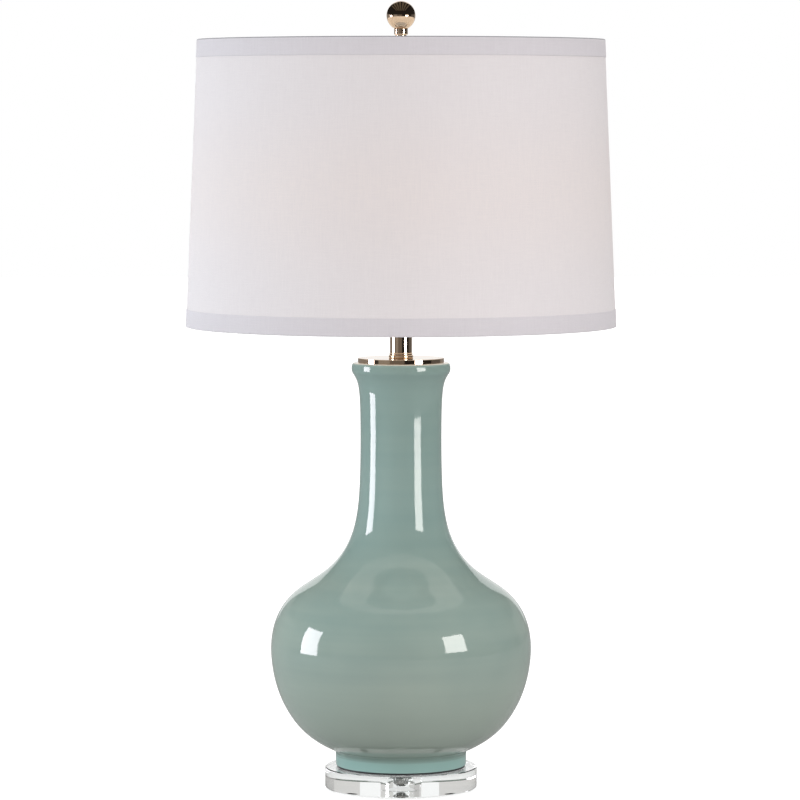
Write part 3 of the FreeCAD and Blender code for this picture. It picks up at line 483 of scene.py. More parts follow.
class Graph:
    """Places and links the nodes of one material or node group."""

    def __init__(self, tree: bpy.types.NodeTree) -> None:
        """Work on a tree."""
        self.tree = tree

    def feed(self, socket: Link, wanted: object) -> None:
        """Link a socket to another one, or set its value."""
        if isinstance(wanted, Link):
            self.tree.links.new(wanted, socket)
        else:
            socket.default_value = wanted

    def node(self, kind: str, inputs: dict[str | int, object] | None = None,
             **settings: object) -> bpy.types.Node:
        """Place a node.

        Args:
            kind: the node's type.
            inputs: value of, or socket to link to, each input by name or number.
            settings: properties of the node.

        Returns:
            The node.
        """
        made = self.tree.nodes.new(kind)
        for key, setting in settings.items():
            setattr(made, key, setting)
        for key, wanted in (inputs or {}).items():
            self.feed(made.inputs[key], wanted)
        return made

    def maths(self, operation: str, first: object, second: object = 0.0, third: object = 0.0,
              clamp: bool = False) -> Link:
        """Result of a Math node on up to three numbers or sockets."""
        inputs = {0: first, 1: second, 2: third}
        return self.node("ShaderNodeMath", inputs, operation=operation, use_clamp=clamp).outputs[0]

    def product(self, *factors: object) -> Link:
        """Numbers or sockets multiplied together."""
        result = factors[0]
        for factor in factors[1:]:
            result = self.maths("MULTIPLY", result, factor)
        return result

    def distance(self, value: Link, middle: float) -> Link:
        """How far a value is from a middle."""
        return self.maths("ABSOLUTE", self.maths("SUBTRACT", value, middle))

    def ramp(self, value: object, low: object, high: object, to_low: float = 0.0, to_high: float = 1.0,
             kind: str = "SMOOTHSTEP") -> Link:
        """A number mapped from one range to another, held at its ends."""
        inputs = {"Value": value, "From Min": low, "From Max": high, "To Min": to_low, "To Max": to_high}
        return self.node("ShaderNodeMapRange", inputs, interpolation_type=kind).outputs["Result"]

    def blend(self, amount: object, first: object, second: object) -> Link:
        """Two colours mixed by an amount."""
        inputs = {0: amount, 6: first, 7: second}
        return self.node("ShaderNodeMix", inputs, data_type="RGBA").outputs[2]

    def noise(self, place: Link, scale: object, detail: object) -> Link:
        """Noise at a place."""
        inputs = {"Vector": place, "Scale": scale, "Detail": detail}
        return self.node("ShaderNodeTexNoise", inputs).outputs["Fac"]

    def parts(self, vector: Link) -> bpy.types.bpy_prop_collection:
        """The X, Y and Z of a vector."""
        return self.node("ShaderNodeSeparateXYZ", {0: vector}).outputs

    def group(self, effect: Effect, place: Link, **numbers: float) -> Link:
        """A shared effect at a place, with its own numbers."""
        inputs = {"Vector": place, **numbers}
        return self.node("ShaderNodeGroup", inputs, node_tree=effect_tree(effect)).outputs[0]


def effect_tree(effect: Effect) -> bpy.types.NodeTree:
    """The node group of a shared effect, built at its first use.

    Args:
        effect: which effect.

    Returns:
        The group's tree.
    """
    name, *numbers = effect.value
    found = bpy.data.node_groups.get(name)
    if found:
        return found
    tree = bpy.data.node_groups.new(name, "ShaderNodeTree")
    tree.interface.new_socket("Vector", in_out="INPUT", socket_type="NodeSocketVector")
    for number in numbers:
        tree.interface.new_socket(number, in_out="INPUT", socket_type="NodeSocketFloat")
    tree.interface.new_socket("Value", in_out="OUTPUT", socket_type="NodeSocketFloat")
    given = tree.nodes.new("NodeGroupInput").outputs
    leave = tree.nodes.new("NodeGroupOutput")
    builders = {
        Effect.DRIFT: build_drift, Effect.GRAIN: build_grain, Effect.BRUSHED: build_brushed,
        Effect.WEAVE: build_weave, Effect.DUST: build_dust, Effect.WEAR: build_wear}
    tree.links.new(builders[effect](Graph(tree), given), leave.inputs[0])
    return tree


Given = bpy.types.bpy_prop_collection


def build_drift(graph: Graph, given: Given) -> Link:
    """Slow change of tone: noise spread over the whole range from nought to one."""
    noise = graph.noise(given["Vector"], given["Scale"], given["Detail"])
    return graph.ramp(noise, given["Low"], given["High"])


def build_grain(graph: Graph, given: Given) -> Link:
    """Fine grain: two sizes of noise added."""
    fine = graph.noise(given["Vector"], given["Scale"], 3.0)
    finer = graph.noise(given["Vector"], graph.product(given["Scale"], 2.7), 1.0)
    return graph.maths("MULTIPLY_ADD", finer, 0.4, fine)


def build_brushed(graph: Graph, given: Given) -> Link:
    """Brushed lines: noise pressed flat along Z, so that it runs round the piece."""
    parts = graph.parts(given["Vector"])
    pressed = graph.node("ShaderNodeCombineXYZ", {
        "X": parts["X"], "Y": parts["Y"], "Z": graph.product(parts["Z"], given["Stretch"])})
    return graph.noise(pressed.outputs[0], given["Scale"], 2.0)


def build_weave(graph: Graph, given: Given) -> Link:
    """Plain weave on a texture place: warp and weft waves that pass over each other in turn.

    Height is the larger of |sin| of each direction times one plus or less the other's sine,
    made uneven by noise drawn out along each thread.
    """
    parts = graph.parts(given["Vector"])
    heights = []
    for number, (along, across) in enumerate((("X", "Y"), ("Y", "X"))):
        thin, long = (graph.maths("DIVIDE", parts[axis], given["Pitch"]) for axis in (across, along))
        stretched = graph.node("ShaderNodeCombineXYZ", {
            "X": graph.product(long, 0.03), "Y": graph.product(thin, 0.5), "Z": 7.3 * number})
        slub = graph.maths("SUBTRACT", graph.noise(stretched.outputs[0], 1.0, 2.0), 0.5)
        wave = graph.maths("ABSOLUTE", graph.maths("SINE", graph.product(thin, math.pi)))
        lift = graph.maths("SINE", graph.product(graph.maths("ADD", long, float(number)), math.pi))
        woven = graph.product(wave, graph.maths("MULTIPLY_ADD", lift, 0.25, 0.75))
        heights.append(graph.maths("MULTIPLY_ADD", slub, given["Slub"], woven))
    return graph.maths("MAXIMUM", *heights)


def build_dust(graph: Graph, given: Given) -> Link:
    """Dust that settles on faces that look up, broken up by noise."""
    facing = graph.parts(graph.node("ShaderNodeNewGeometry").outputs["Normal"])
    broken = graph.ramp(graph.noise(given["Vector"], given["Scale"], 4.0), 0.35, 0.75)
    return graph.product(graph.ramp(facing["Z"], 0.4, 1.0), broken, given["Amount"])


def build_wear(graph: Graph, given: Given) -> Link:
    """Wear on outer edges: how sharply the surface turns outwards, broken up by noise."""
    edge = graph.ramp(graph.node("ShaderNodeNewGeometry").outputs["Pointiness"], 0.52, 0.62)
    broken = graph.ramp(graph.noise(given["Vector"], given["Scale"], 3.0), 0.4, 0.6)
    return graph.product(edge, broken, given["Amount"])


class Coat(Graph):
    """Nodes of one material, with its shader and the places that its patterns read."""

    def __init__(self, tree: bpy.types.NodeTree) -> None:
        """Work on a new material's tree."""
        super().__init__(tree)
        self.shader = tree.nodes["Principled BSDF"]
        places = self.node("ShaderNodeTexCoord").outputs
        self.place, self.cloth_place = places["Object"], places["UV"]

    def mask(self, effect: Effect, **numbers: float) -> Link:
        """A shared effect on the piece's Object coordinates."""
        return self.group(effect, self.place, **numbers)

    def cover(self, **sockets: object) -> None:
        """Feed the shader's sockets, named with underscores for spaces."""
        for name, wanted in sockets.items():
            self.feed(self.shader.inputs[name.replace("_", " ")], wanted)

    def relief(self, height: Link, distance: float, strength: float) -> None:
        """Feed a height into the shader's normal.

        Args:
            height: the height, from nought to one.
            distance: what one is worth, in metres.
            strength: how much of the bump is used.
        """
        bump = self.node("ShaderNodeBump", {"Strength": strength, "Distance": distance, "Height": height})
        self.cover(Normal=bump.outputs["Normal"])


# ------------------------------------------------------------------ finishes


def shown(red: float, green: float, blue: float) -> tuple[float, float, float, float]:
    """Linear colour of a display colour whose parts run from 0 to 255."""
    parts = np.array([red, green, blue]) / 255
    linear = np.where(parts <= 0.04045, parts / 12.92, ((parts + 0.055) / 1.055) ** 2.4)
    return (*map(float, linear), 1.0)


class Finish:
    """A finish that pieces are dressed in. Its slot is the record's material slot."""

    slot: ClassVar[str]

    def material(self) -> bpy.types.Material:
        """The finish's material, built at its first use."""
        name = f"{self.slot}_look"
        found = bpy.data.materials.get(name)
        if found:
            return found
        made = bpy.data.materials.new(name)
        made.use_nodes = True
        self.paint(Coat(made.node_tree))
        return made

    def paint(self, coat: Coat) -> None:
        """Set the material's nodes up."""
        raise NotImplementedError


@dataclass(frozen=True)
class CeladonGlaze(Finish):
    """Grey-green glaze: deeper where it pools, paler over the rims, with faint turning bands.

    A band is (from height, to height, most of it, colour), and the later ones lie over the
    earlier ones.
    """

    slot: ClassVar[str] = "celadon_glaze"
    deep: Colour = (133, 153, 147)
    pale: Colour = (154, 169, 160)
    nape: tuple[float, float, Colour] = (0.2675, 0.065, (119, 144, 139))
    bands: tuple[tuple[float, float, float, Colour], ...] = (
        # painted light: this band makes the lower bowl paler and greyer towards the bottom
        (0.20, 0.06, 0.8, (160, 171, 161)),
        (0.22, 0.32, 0.6, (136, 163, 160)),
        (0.045, 0.033, 1.0, (150, 184, 178)),
        (0.4545, 0.4551, 1.0, (222, 220, 212)))
    # painted shadow: darker ring in the crease where the bowl meets the foot, as (height, reach, colour)
    crease: tuple[float, float, Colour] = (0.0395, 0.0045, (112, 136, 128))

    def paint(self, coat: Coat) -> None:
        """Colour from drift, bands and height; a smooth gloss with a slight ripple."""
        height = coat.parts(coat.place)["Z"]
        drift = coat.mask(Effect.DRIFT, Scale=7.0, Detail=3.0, Low=0.3, High=0.7)
        turns = coat.ramp(coat.mask(Effect.BRUSHED, Scale=2.2, Stretch=22.0), 0.3, 0.7, 0.0, 0.4)
        tone = coat.maths("MULTIPLY_ADD", drift, 0.6, turns, clamp=True)
        colour = coat.blend(tone, shown(*self.deep), shown(*self.pale))
        middle, reach, pooled = self.nape
        pool = coat.ramp(coat.distance(height, middle), reach, 0.0, 0.0, 0.35)
        colour = coat.blend(pool, colour, shown(*pooled))
        for start, end, most, banded in self.bands:
            colour = coat.blend(coat.ramp(height, start, end, 0.0, most), colour, shown(*banded))
        # painted shadow in the crease between bowl and foot, which is also made rougher there
        middle, reach, shadowed = self.crease
        near = coat.ramp(coat.distance(height, middle), reach, reach / 3)
        colour = coat.blend(coat.product(near, 0.6), colour, shown(*shadowed))
        dust = coat.maths("ADD", coat.mask(Effect.DUST, Scale=90.0, Amount=0.05), 0.055)
        coat.cover(Base_Color=colour, Roughness=coat.maths("MULTIPLY_ADD", near, 0.3, dust), IOR=1.5)
        coat.relief(coat.mask(Effect.DRIFT, Scale=34.0, Detail=2.0, Low=0.0, High=1.0), 0.0004, 0.35)


@dataclass(frozen=True)
class PolishedNickel(Finish):
    """Mirror plating with a warm cast, faint smudges and hair scratches round the piece."""

    slot: ClassVar[str] = "polished_nickel"
    colour: Colour = (231, 207, 183)
    scratched: Colour = (208, 186, 163)

    def paint(self, coat: Coat) -> None:
        """Metal whose roughness drifts with smudges."""
        smudge = coat.mask(Effect.DRIFT, Scale=60.0, Detail=4.0, Low=0.35, High=0.75)
        hair = coat.mask(Effect.BRUSHED, Scale=300.0, Stretch=25.0)
        tone = coat.blend(coat.ramp(hair, 0.3, 0.7, 0.0, 0.12), shown(*self.colour), shown(*self.scratched))
        coat.cover(Base_Color=tone, Roughness=coat.maths("MULTIPLY_ADD", smudge, 0.05, 0.05), Metallic=1.0)
        coat.relief(hair, 0.00001, 0.15)


@dataclass(frozen=True)
class ClearAcrylic(Finish):
    """Thick clear cast acrylic, polished all over, with a trace of dust on its top."""

    slot: ClassVar[str] = "clear_acrylic"

    def paint(self, coat: Coat) -> None:
        """Clear body whose polish has faint smears."""
        smear = coat.mask(Effect.DRIFT, Scale=40.0, Detail=4.0, Low=0.5, High=0.8)
        dust = coat.mask(Effect.DUST, Scale=150.0, Amount=0.08)
        coat.cover(Roughness=coat.maths("ADD", coat.ramp(smear, 0.0, 1.0, 0.0, 0.02), dust),
                   Base_Color=(0.96, 0.975, 0.97, 1.0), IOR=1.49, Transmission_Weight=1.0)


Mask = tuple[Effect, dict[str, float]]


class Patterned(Finish):
    """A finish whose one pattern shows in its colour, roughness and relief.

    The colour runs from the first tone to the second with the pattern, spread out where a
    spread is given. Wear or dust lies over it in a colour of its own. Roughness is given as the
    pattern's low and high, then the roughness at each.
    """

    pattern: ClassVar[Mask]
    tones: ClassVar[tuple[Colour, ...]] = ()
    spread: ClassVar[tuple[float, float] | None] = None
    over: ClassVar[tuple[Mask, Colour] | None] = None
    rough: ClassVar[tuple[float, float, float, float]]
    bump: ClassVar[tuple[float, float] | None] = None
    sockets: ClassVar[dict[str, object]] = {}

    def paint(self, coat: Coat) -> None:
        """Lay the pattern, then what lies over it."""
        pattern = coat.mask(self.pattern[0], **self.pattern[1])
        if self.tones:
            colour = shown(*self.tones[0])
            if len(self.tones) > 1:
                amount = coat.ramp(pattern, *self.spread) if self.spread else pattern
                colour = coat.blend(amount, colour, shown(*self.tones[1]))
            if self.over:
                (effect, numbers), laid = self.over
                colour = coat.blend(coat.mask(effect, **numbers), colour, shown(*laid))
            coat.cover(Base_Color=colour)
        coat.cover(Roughness=coat.ramp(pattern, *self.rough), **self.sockets)
        if self.bump:
            coat.relief(pattern, *self.bump)


class SatinNickel(Patterned):
    """Satin plating of the socket, brushed round, brighter on its edges."""

    slot = "socket_nickel"
    pattern = Effect.BRUSHED, {"Scale": 260.0, "Stretch": 40.0}
    tones = ((196, 190, 178),)
    over = (Effect.WEAR, {"Scale": 300.0, "Amount": 0.5}), (232, 228, 220)
    rough = (0.3, 0.7, 0.24, 0.4)
    bump = (0.00005, 0.4)
    sockets = {"Metallic": 1.0}


class ZincSteel(Patterned):
    """Zinc plated hardware: a cloudy grey with worn edges."""

    slot = "zinc_steel"
    pattern = Effect.DRIFT, {"Scale": 250.0, "Detail": 4.0, "Low": 0.3, "High": 0.7}
    tones = (178, 180, 180), (150, 152, 150)
    over = (Effect.WEAR, {"Scale": 400.0, "Amount": 0.6}), (214, 214, 210)
    rough = (0.0, 1.0, 0.22, 0.4)
    bump = (0.00003, 0.3)
    sockets = {"Metallic": 1.0}


class Aluminium(Patterned):
    """Thin rolled aluminium of the screw shells, bright on the crests of the thread."""

    slot = "thread_aluminium"
    pattern = Effect.GRAIN, {"Scale": 900.0}
    tones = ((206, 207, 210),)
    over = (Effect.WEAR, {"Scale": 300.0, "Amount": 0.8}), (235, 235, 236)
    rough = (0.4, 1.0, 0.22, 0.38)
    bump = (0.00003, 0.3)
    sockets = {"Metallic": 1.0}


class ContactBrass(Patterned):
    """Plain brass, a little tarnished."""

    slot = "contact_brass"
    pattern = Effect.DRIFT, {"Scale": 500.0, "Detail": 3.0, "Low": 0.4, "High": 0.7}
    tones = (214, 178, 104), (170, 132, 78)
    rough = (0.0, 1.0, 0.2, 0.42)
    sockets = {"Metallic": 1.0}


class Solder(Patterned):
    """Grey solder with a dull, wrinkled skin."""

    slot = "solder"
    pattern = Effect.GRAIN, {"Scale": 700.0}
    tones = (150, 151, 155), (186, 187, 190)
    rough = (0.4, 1.0, 0.3, 0.55)
    bump = (0.00008, 0.5)
    sockets = {"Metallic": 1.0}


class ClearBumper(Patterned):
    """Clear soft feet, slightly cloudy."""

    slot = "clear_bumper"
    pattern = Effect.GRAIN, {"Scale": 400.0}
    rough = (0.3, 1.0, 0.12, 0.3)
    sockets = {"Base_Color": (0.86, 0.88, 0.88, 1.0), "IOR": 1.47, "Transmission_Weight": 0.8}


class FrostedGlass(Patterned):
    """Inside-frosted white bulb glass with a fine etched grain."""

    slot = "frosted_glass"
    pattern = Effect.GRAIN, {"Scale": 1500.0}
    tones = (238, 238, 234), (250, 250, 247)
    rough = (0.3, 1.0, 0.2, 0.34)
    sockets = {"IOR": 1.5, "Transmission_Weight": 0.35}


class BlackGlass(Patterned):
    """Black insulating glass of the bulb's cap, with slight swirls."""

    slot = "black_glass"
    pattern = Effect.DRIFT, {"Scale": 300.0, "Detail": 3.0, "Low": 0.3, "High": 0.7}
    tones = (20, 20, 24), (38, 38, 44)
    rough = (0.0, 1.0, 0.08, 0.2)
    sockets = {"IOR": 1.52}


class BlackPlastic(Patterned):
    """Moulded black plastic with a fine spark grain and worn edges."""

    slot = "black_plastic"
    pattern = Effect.GRAIN, {"Scale": 2200.0}
    tones = ((30, 30, 32),)
    over = (Effect.WEAR, {"Scale": 500.0, "Amount": 0.5}), (72, 72, 74)
    rough = (0.3, 1.0, 0.34, 0.5)
    bump = (0.00004, 0.5)


class BlackRubber(Patterned):
    """Matt black rubber of the foot ring, with a powdery drift."""

    slot = "black_rubber"
    pattern = Effect.DRIFT, {"Scale": 120.0, "Detail": 5.0, "Low": 0.4, "High": 0.8}
    tones = (40, 42, 44), (62, 63, 64)
    rough = (0.0, 1.0, 0.6, 0.8)

    def paint(self, coat: Coat) -> None:
        """The drift, with a grain in the relief alone."""
        super().paint(coat)
        coat.relief(coat.mask(Effect.GRAIN, Scale=1400.0), 0.00006, 0.5)


class LinerPaper(Patterned):
    """Brown insulating card with short fibres."""

    slot = "liner_paper"
    pattern = Effect.BRUSHED, {"Scale": 500.0, "Stretch": 6.0}
    tones = (166, 130, 92), (198, 166, 126)
    spread = (0.3, 0.7)
    rough = (0.3, 0.7, 0.7, 0.9)
    bump = (0.0001, 0.5)


class WhiteWire(Patterned):
    """White enamel on the shade's wire frame, with slight orange peel and dust."""

    slot = "white_wire"
    pattern = Effect.GRAIN, {"Scale": 350.0}
    tones = ((236, 236, 232),)
    over = (Effect.DUST, {"Scale": 120.0, "Amount": 0.25}), (190, 186, 178)
    rough = (0.3, 1.0, 0.22, 0.36)
    bump = (0.0001, 0.4)


class WhiteStyrene(Patterned):
    """White styrene lining of the shade: a satin face, and a faint warm glow painted in as emission."""

    slot = "white_styrene"
    pattern = Effect.BRUSHED, {"Scale": 30.0, "Stretch": 12.0}
    tones = (243, 239, 232), (248, 245, 239)
    spread = (0.3, 0.7)
    rough = (0.3, 0.7, 0.4, 0.52)
    bump = (0.00006, 0.3)
    # painted light: a faint warm emission, though the lining is no lamp
    sockets = {"Emission_Color": (1.0, 0.93, 0.86, 1.0), "Emission_Strength": 0.16}


@dataclass(frozen=True)
class ShadeLinen(Finish):
    """Off-white linen over the liner, with a faint warm glow of the bulb painted in around its height."""

    slot: ClassVar[str] = "shade_linen"
    thread: Colour = (228, 222, 223)
    gap: Colour = (214, 207, 209)
    # painted light: tone of the bulb's glow through the linen, strongest at bulb_height and gone at reach from
    # it
    warm: Colour = (232, 221, 217)
    faded: Colour = (214, 210, 214)
    # painted shadow: dark colour of a thin line along the shade's top edge, between the heights in top_edge
    painted_edge_shadow: Colour = (118, 120, 124)
    pitch: float = 0.00055
    bulb_height: float = 0.640
    reach: float = 0.115
    top_edge: tuple[float, float] = (0.7963, 0.7969)

    def paint(self, coat: Coat) -> None:
        """Woven threads with slubs; matt, with a soft sheen and a painted shadow along the upper edge."""
        woven = coat.group(Effect.WEAVE, coat.cloth_place, Pitch=self.pitch, Slub=0.7)
        height = coat.parts(coat.place)["Z"]
        # painted bulb glow: a warmer band round the shade at the bulb's height
        glow = coat.ramp(coat.distance(height, self.bulb_height), self.reach, 0.0, 0.0, 0.75)
        tone = coat.blend(glow, shown(*self.thread), shown(*self.warm))
        drift = coat.mask(Effect.DRIFT, Scale=5.0, Detail=3.0, Low=0.3, High=0.7)
        colour = coat.blend(coat.ramp(woven, 0.2, 0.9), shown(*self.gap), tone)
        colour = coat.blend(coat.product(drift, 0.12), colour, shown(*self.faded))
        # painted shadow along the top edge, where the rolled band is in shade
        colour = coat.blend(coat.ramp(height, *self.top_edge, 0.0, 0.85), colour, shown(*self.painted_edge_shadow))
        coat.cover(Base_Color=colour, Roughness=coat.ramp(woven, 0.0, 1.0, 0.95, 0.8),
                   Sheen_Weight=0.12, Sheen_Roughness=0.5, IOR=1.3)
        coat.relief(woven, 0.00012, 0.6)


@dataclass(frozen=True)
class TrimLinen(ShadeLinen):
    """The same linen, doubled in the edge bands, painted greyer for the light the doubled cloth holds back."""

    slot: ClassVar[str] = "shade_trim"
    # painted shade: greyer thread and gap tones for less light through the doubled cloth; the glow tone equals
    # the thread, so no painted bulb glow
    thread: Colour = (215, 210, 214)
    gap: Colour = (199, 193, 198)
    warm: Colour = (215, 210, 214)


# ------------------------------------------------------------------ base


@dataclass
class Base:
    """Clear disc, its feet, the hardware in its well, and the ring under the vase."""

    radius: float = 81.0
    thickness: float = 22.0
    bevel: float = 0.8
    web: float = 8.0
    well: float = 15.0
    pipe_hole: float = 5.5
    gasket_bore: float = 60.0
    bumper_radius: float = 6.0
    bumper_circle: float = 68.0
    spring_radius: float = 8.5
    nut_corner: float = 8.19
    nut_apothem: float = 7.1
    pipe_radius: float = 5.15
    pipe_bore: float = 3.4
    pitch: float = 0.94
    lower_thread: float = 21.0
    upper_thread: float = 18.0

    def build(self) -> None:
        """Build every piece of the base."""
        self.build_disc()
        self.build_bumpers()
        self.build_rings()
        self.build_nut()
        self.build_pipe()

    def build_disc(self) -> None:
        """Disc turned from its section: flame-polished flats with a thin bevel on both rims."""
        top, edge, roof = self.thickness, self.bevel, self.thickness - self.web
        section = rounded([
            (self.well, 0, 0.3), (self.radius - edge, 0), (self.radius, edge),
            (self.radius, top - edge), (self.radius - edge, top), (self.pipe_hole, top),
            (self.pipe_hole, roof), (self.well, roof, 0.5)], steps=4)
        disc = lathe(section, 256).moved(z=span("base_disc")[0])
        dress("clear_disc", [disc], ClearAcrylic(), "base_disc", crease=30)

    def build_bumpers(self) -> None:
        """Four soft feet, domed at their lower edge."""
        height = span("base_bumpers")[1]
        wide = self.bumper_radius
        foot = lathe(rounded([(0, 0), (wide - 0.4, 0, 0.9), (wide, height), (0, height)]), 40)
        places = circle(self.bumper_circle, np.radians([45, 135, 225, 315]))
        dress("bumper_feet", [foot.moved(*place) for place in places], ClearBumper(), "base_bumpers")

    def build_rings(self) -> None:
        """Ring between disc and glaze, flat washer and split spring washer."""
        gasket = ring_section(self.gasket_bore, span("foot_gasket", 0)[1], *span("foot_gasket"), 0.3, 0.5)
        dress("foot_ring", [lathe(gasket, 192)], BlackRubber(), "foot_gasket")
        washer = ring_section(self.pipe_hole, span("base_washer", 0)[1], *span("base_washer"), 0.25, 0.25, 3)
        dress("flat_washer", [lathe(washer, 96)], ZincSteel(), "base_washer")
        low, high = span("base_lock_washer")
        line = circle((self.pipe_hole + self.spring_radius) / 2, np.radians(np.linspace(0.5, 345.5, 80)))
        path = np.insert(line, 2, (low + high) / 2, axis=1)
        section = block_section(self.spring_radius - self.pipe_hole - 0.02, high - low - 0.02, 0.25)
        dress("spring_washer", [swept(path, section, (0, 0, 1))], ZincSteel(), "base_lock_washer")

    def build_nut(self) -> None:
        """Hexagon nut, chamfered on both faces."""
        (low, high), corner = span("base_nut"), self.nut_corner
        section = resampled(np.array([
            (5.2, low + 0.4), (5.6, low), (7.0, low), (corner, low + 0.7),
            (corner, high - 0.7), (7.0, high), (5.6, high), (5.2, high - 0.4)]), 0.6)
        nut = lathe(section, 180, ripple=hexagon(self.nut_apothem, 6.0))
        dress("hexagon_nut", [nut], ZincSteel(), "base_nut", crease=25)

    def build_pipe(self) -> None:
        """Lamp pipe, threaded at both ends, with the port that the cord goes in by."""
        (low, high), outside = span("lamp_pipe"), self.pipe_radius
        lower, upper = low + self.lower_thread, high - self.upper_thread
        rise = np.concatenate([
            np.arange(low + 0.4, lower, self.pitch / 6), np.linspace(lower, upper, 40),
            np.arange(upper, high - 0.4, self.pitch / 6)])
        section = np.vstack([
            [(self.pipe_bore, low), (outside - 0.4, low)], upright(outside, rise),
            [(outside - 0.4, high), (self.pipe_bore, high)]])
        first, second = (thread(self.pitch, 0.5, start, end, self.pipe_bore + 0.5)
                         for start, end in ((low, lower), (upper, high)))

        def both(angle: Array, radius: Array, height: Array) -> Array:
            return second(angle, first(angle, radius, height), height)

        port = rod(2.8, 0, 12).laid(Towards.BACK, middle_of("cord_bushing"))
        dress("threaded_pipe", [lathe(section, 40, ripple=both)], ZincSteel(), "lamp_pipe", crease=50,
              cutters=[port])


# ------------------------------------------------------------------ vase


@dataclass
class Vase:
    """Glazed bottle: foot ring, round bowl, long neck and thick lip, hollow inside."""

    rises: tuple[float, ...] = (9.3, 12.3, 32.8, 46, 46.5, 38.8, 20.8, 42.1, 62.1, 60.7, 39.3, 8.8, 6.2, 4.4)
    radii: tuple[float, ...] = (52.8, 92.5, 123.5, 138.7, 140.3, 119, 74.8, 46.7, 43.1, 43, 44.3, 53, 52.4, 52.3)
    collar: int = 10
    lip_round: float = 4.0
    foot_radius: float = 69.7
    foot_wall: float = 9.7
    foot_blend: float = 5.0
    chamber: float = 12.0
    floor: float = 18.0
    wall: float = 6.0
    mouth: float = 38.0
    pipe_hole: float = 5.5
    inlet: float = 4.5
    bushing: tuple[float, float, float] = (3.2, 4.44, 5.5)

    def poles(self) -> Array:
        """Control points of the outside, as rows of (radius, height above the foot)."""
        return np.stack([np.array(self.radii), np.cumsum(self.rises)], axis=1)

    def outside(self) -> Array:
        """Outside from the foot's lower edge up to the lip.

        The bowl's curve is the spline. The blend is an arc that touches both the foot's side
        and the bowl: its centre is where the bowl's curve, moved out by the blend's radius,
        is that radius outside the foot.
        """
        poles, foot, blend = self.poles(), self.foot_radius, self.foot_blend
        curve = clamped_cubic(np.vstack([poles, (self.radii[-1] - self.lip_round, poles[-1, 1])]), 420)
        along = unit(np.gradient(curve, axis=0))
        moved = curve + np.stack([along[:, 1], -along[:, 0]], axis=1) * blend
        first = int(np.argmax(moved[:, 0] > foot + blend))
        share = (foot + blend - moved[first - 1, 0]) / (moved[first, 0] - moved[first - 1, 0])
        centre, touch = (line[first - 1] + share * (line[first] - line[first - 1]) for line in (moved, curve))
        end = math.atan2(touch[1] - centre[1], touch[0] - centre[0]) % (2 * math.pi)
        edge = rounded([(foot - 3, 0), (foot, 0, 1.0), (foot, 5.0)], closed=False)[1:]
        arc = centre + circle(blend, np.linspace(math.pi, end, 9))
        return np.vstack([edge, arc[:-1], curve[first:-1:2], curve[-1:]])

    def inside(self) -> Array:
        """Inside from the floor up to the lip: the outside's control points moved in by the wall.

        Each control point moves square to the line between its two neighbours.
        """
        poles = self.poles()
        between = unit(poles[2:] - poles[:-2])
        moved = poles[1:-1] + np.stack([-between[:, 1], between[:, 0]], axis=1) * self.wall
        inner = np.vstack([(self.radii[0], self.floor), moved[: self.collar - 1],
                           (self.mouth, poles[self.collar, 1])])
        return clamped_cubic(inner, 140)

    def build(self) -> None:
        """Build the vase, and the bushing that lies along +Y in the back of its foot."""
        seat, top = span("vase_body")
        lip, ring = top - seat, self.foot_radius - self.foot_wall
        mouth = rounded([(self.mouth + 6, lip), (self.mouth, lip, 1.2), (self.mouth, lip - 8)], closed=False)
        section = np.vstack([
            [(self.pipe_hole, self.chamber), (ring - 1.5, self.chamber), (ring, self.chamber - 1.5),
             (ring, 0.6), (ring + 0.6, 0)],
            self.outside(), mouth[1:-1], self.inside()[::-1], [(self.pipe_hole, self.floor)]])
        height = middle_of("cord_bushing")
        hole = rod(self.inlet, 55, 78, 40).laid(Towards.BACK, height)
        vase = lathe(section, 224).moved(z=seat)
        dress("glazed_vase", [vase], CeladonGlaze(), "vase_body", crease=40, cutters=[hole])
        (start, end), face, (bore, barrel, flange) = span("cord_bushing", 1), self.foot_radius, self.bushing
        section = rounded([
            (bore, start, 0.3), (barrel, start, 0.4), (barrel, face), (flange, face), (flange, end, 0.8),
            (bore, end, 0.7)], steps=5)
        dress("inlet_bushing", [lathe(section, 64).laid(Towards.BACK, height)], BlackPlastic(), "cord_bushing")


# ------------------------------------------------------------------ neck


@dataclass
class Neck:
    """Polished cap, beaded ring and tube between the vase and the socket."""

    hole: float = 5.5
    cap_radius: float = 45.9
    spigot: float = 37.5
    spigot_depth: float = 6.0
    ring_radius: float = 13.0
    tube_radius: float = 11.8
    tube_wall: float = 1.0

    def build(self) -> None:
        """Build the three pieces."""
        foot, top = span("vase_cap")
        seat = foot + self.spigot_depth
        cap = rounded([
            (self.hole, foot), (self.spigot, foot, 0.5), (self.spigot, seat), (self.cap_radius, seat, 0.3),
            (self.cap_radius, top, 0.45), (self.hole, top)])
        dress("vase_lid", [lathe(cap, 224)], PolishedNickel(), "vase_cap", crease=40)
        (low, high), wide = span("neck_ring"), self.ring_radius
        ring = rounded([
            (self.hole, low), (wide, low, 0.95), (wide, low + 2.85, 0.95), (wide - 1.4, low + 3.2),
            (wide - 0.7, low + 3.55), (wide - 0.7, high, 0.95), (self.hole, high)], steps=8)
        dress("beaded_ring", [lathe(ring, 160)], PolishedNickel(), "neck_ring", crease=40)
        tube = ring_section(self.tube_radius - self.tube_wall, self.tube_radius, *span("neck_tube"), 0.2, 0.3, 4)
        dress("neck_sleeve", [lathe(tube, 128)], PolishedNickel(), "neck_tube")


# ------------------------------------------------------------------ harp


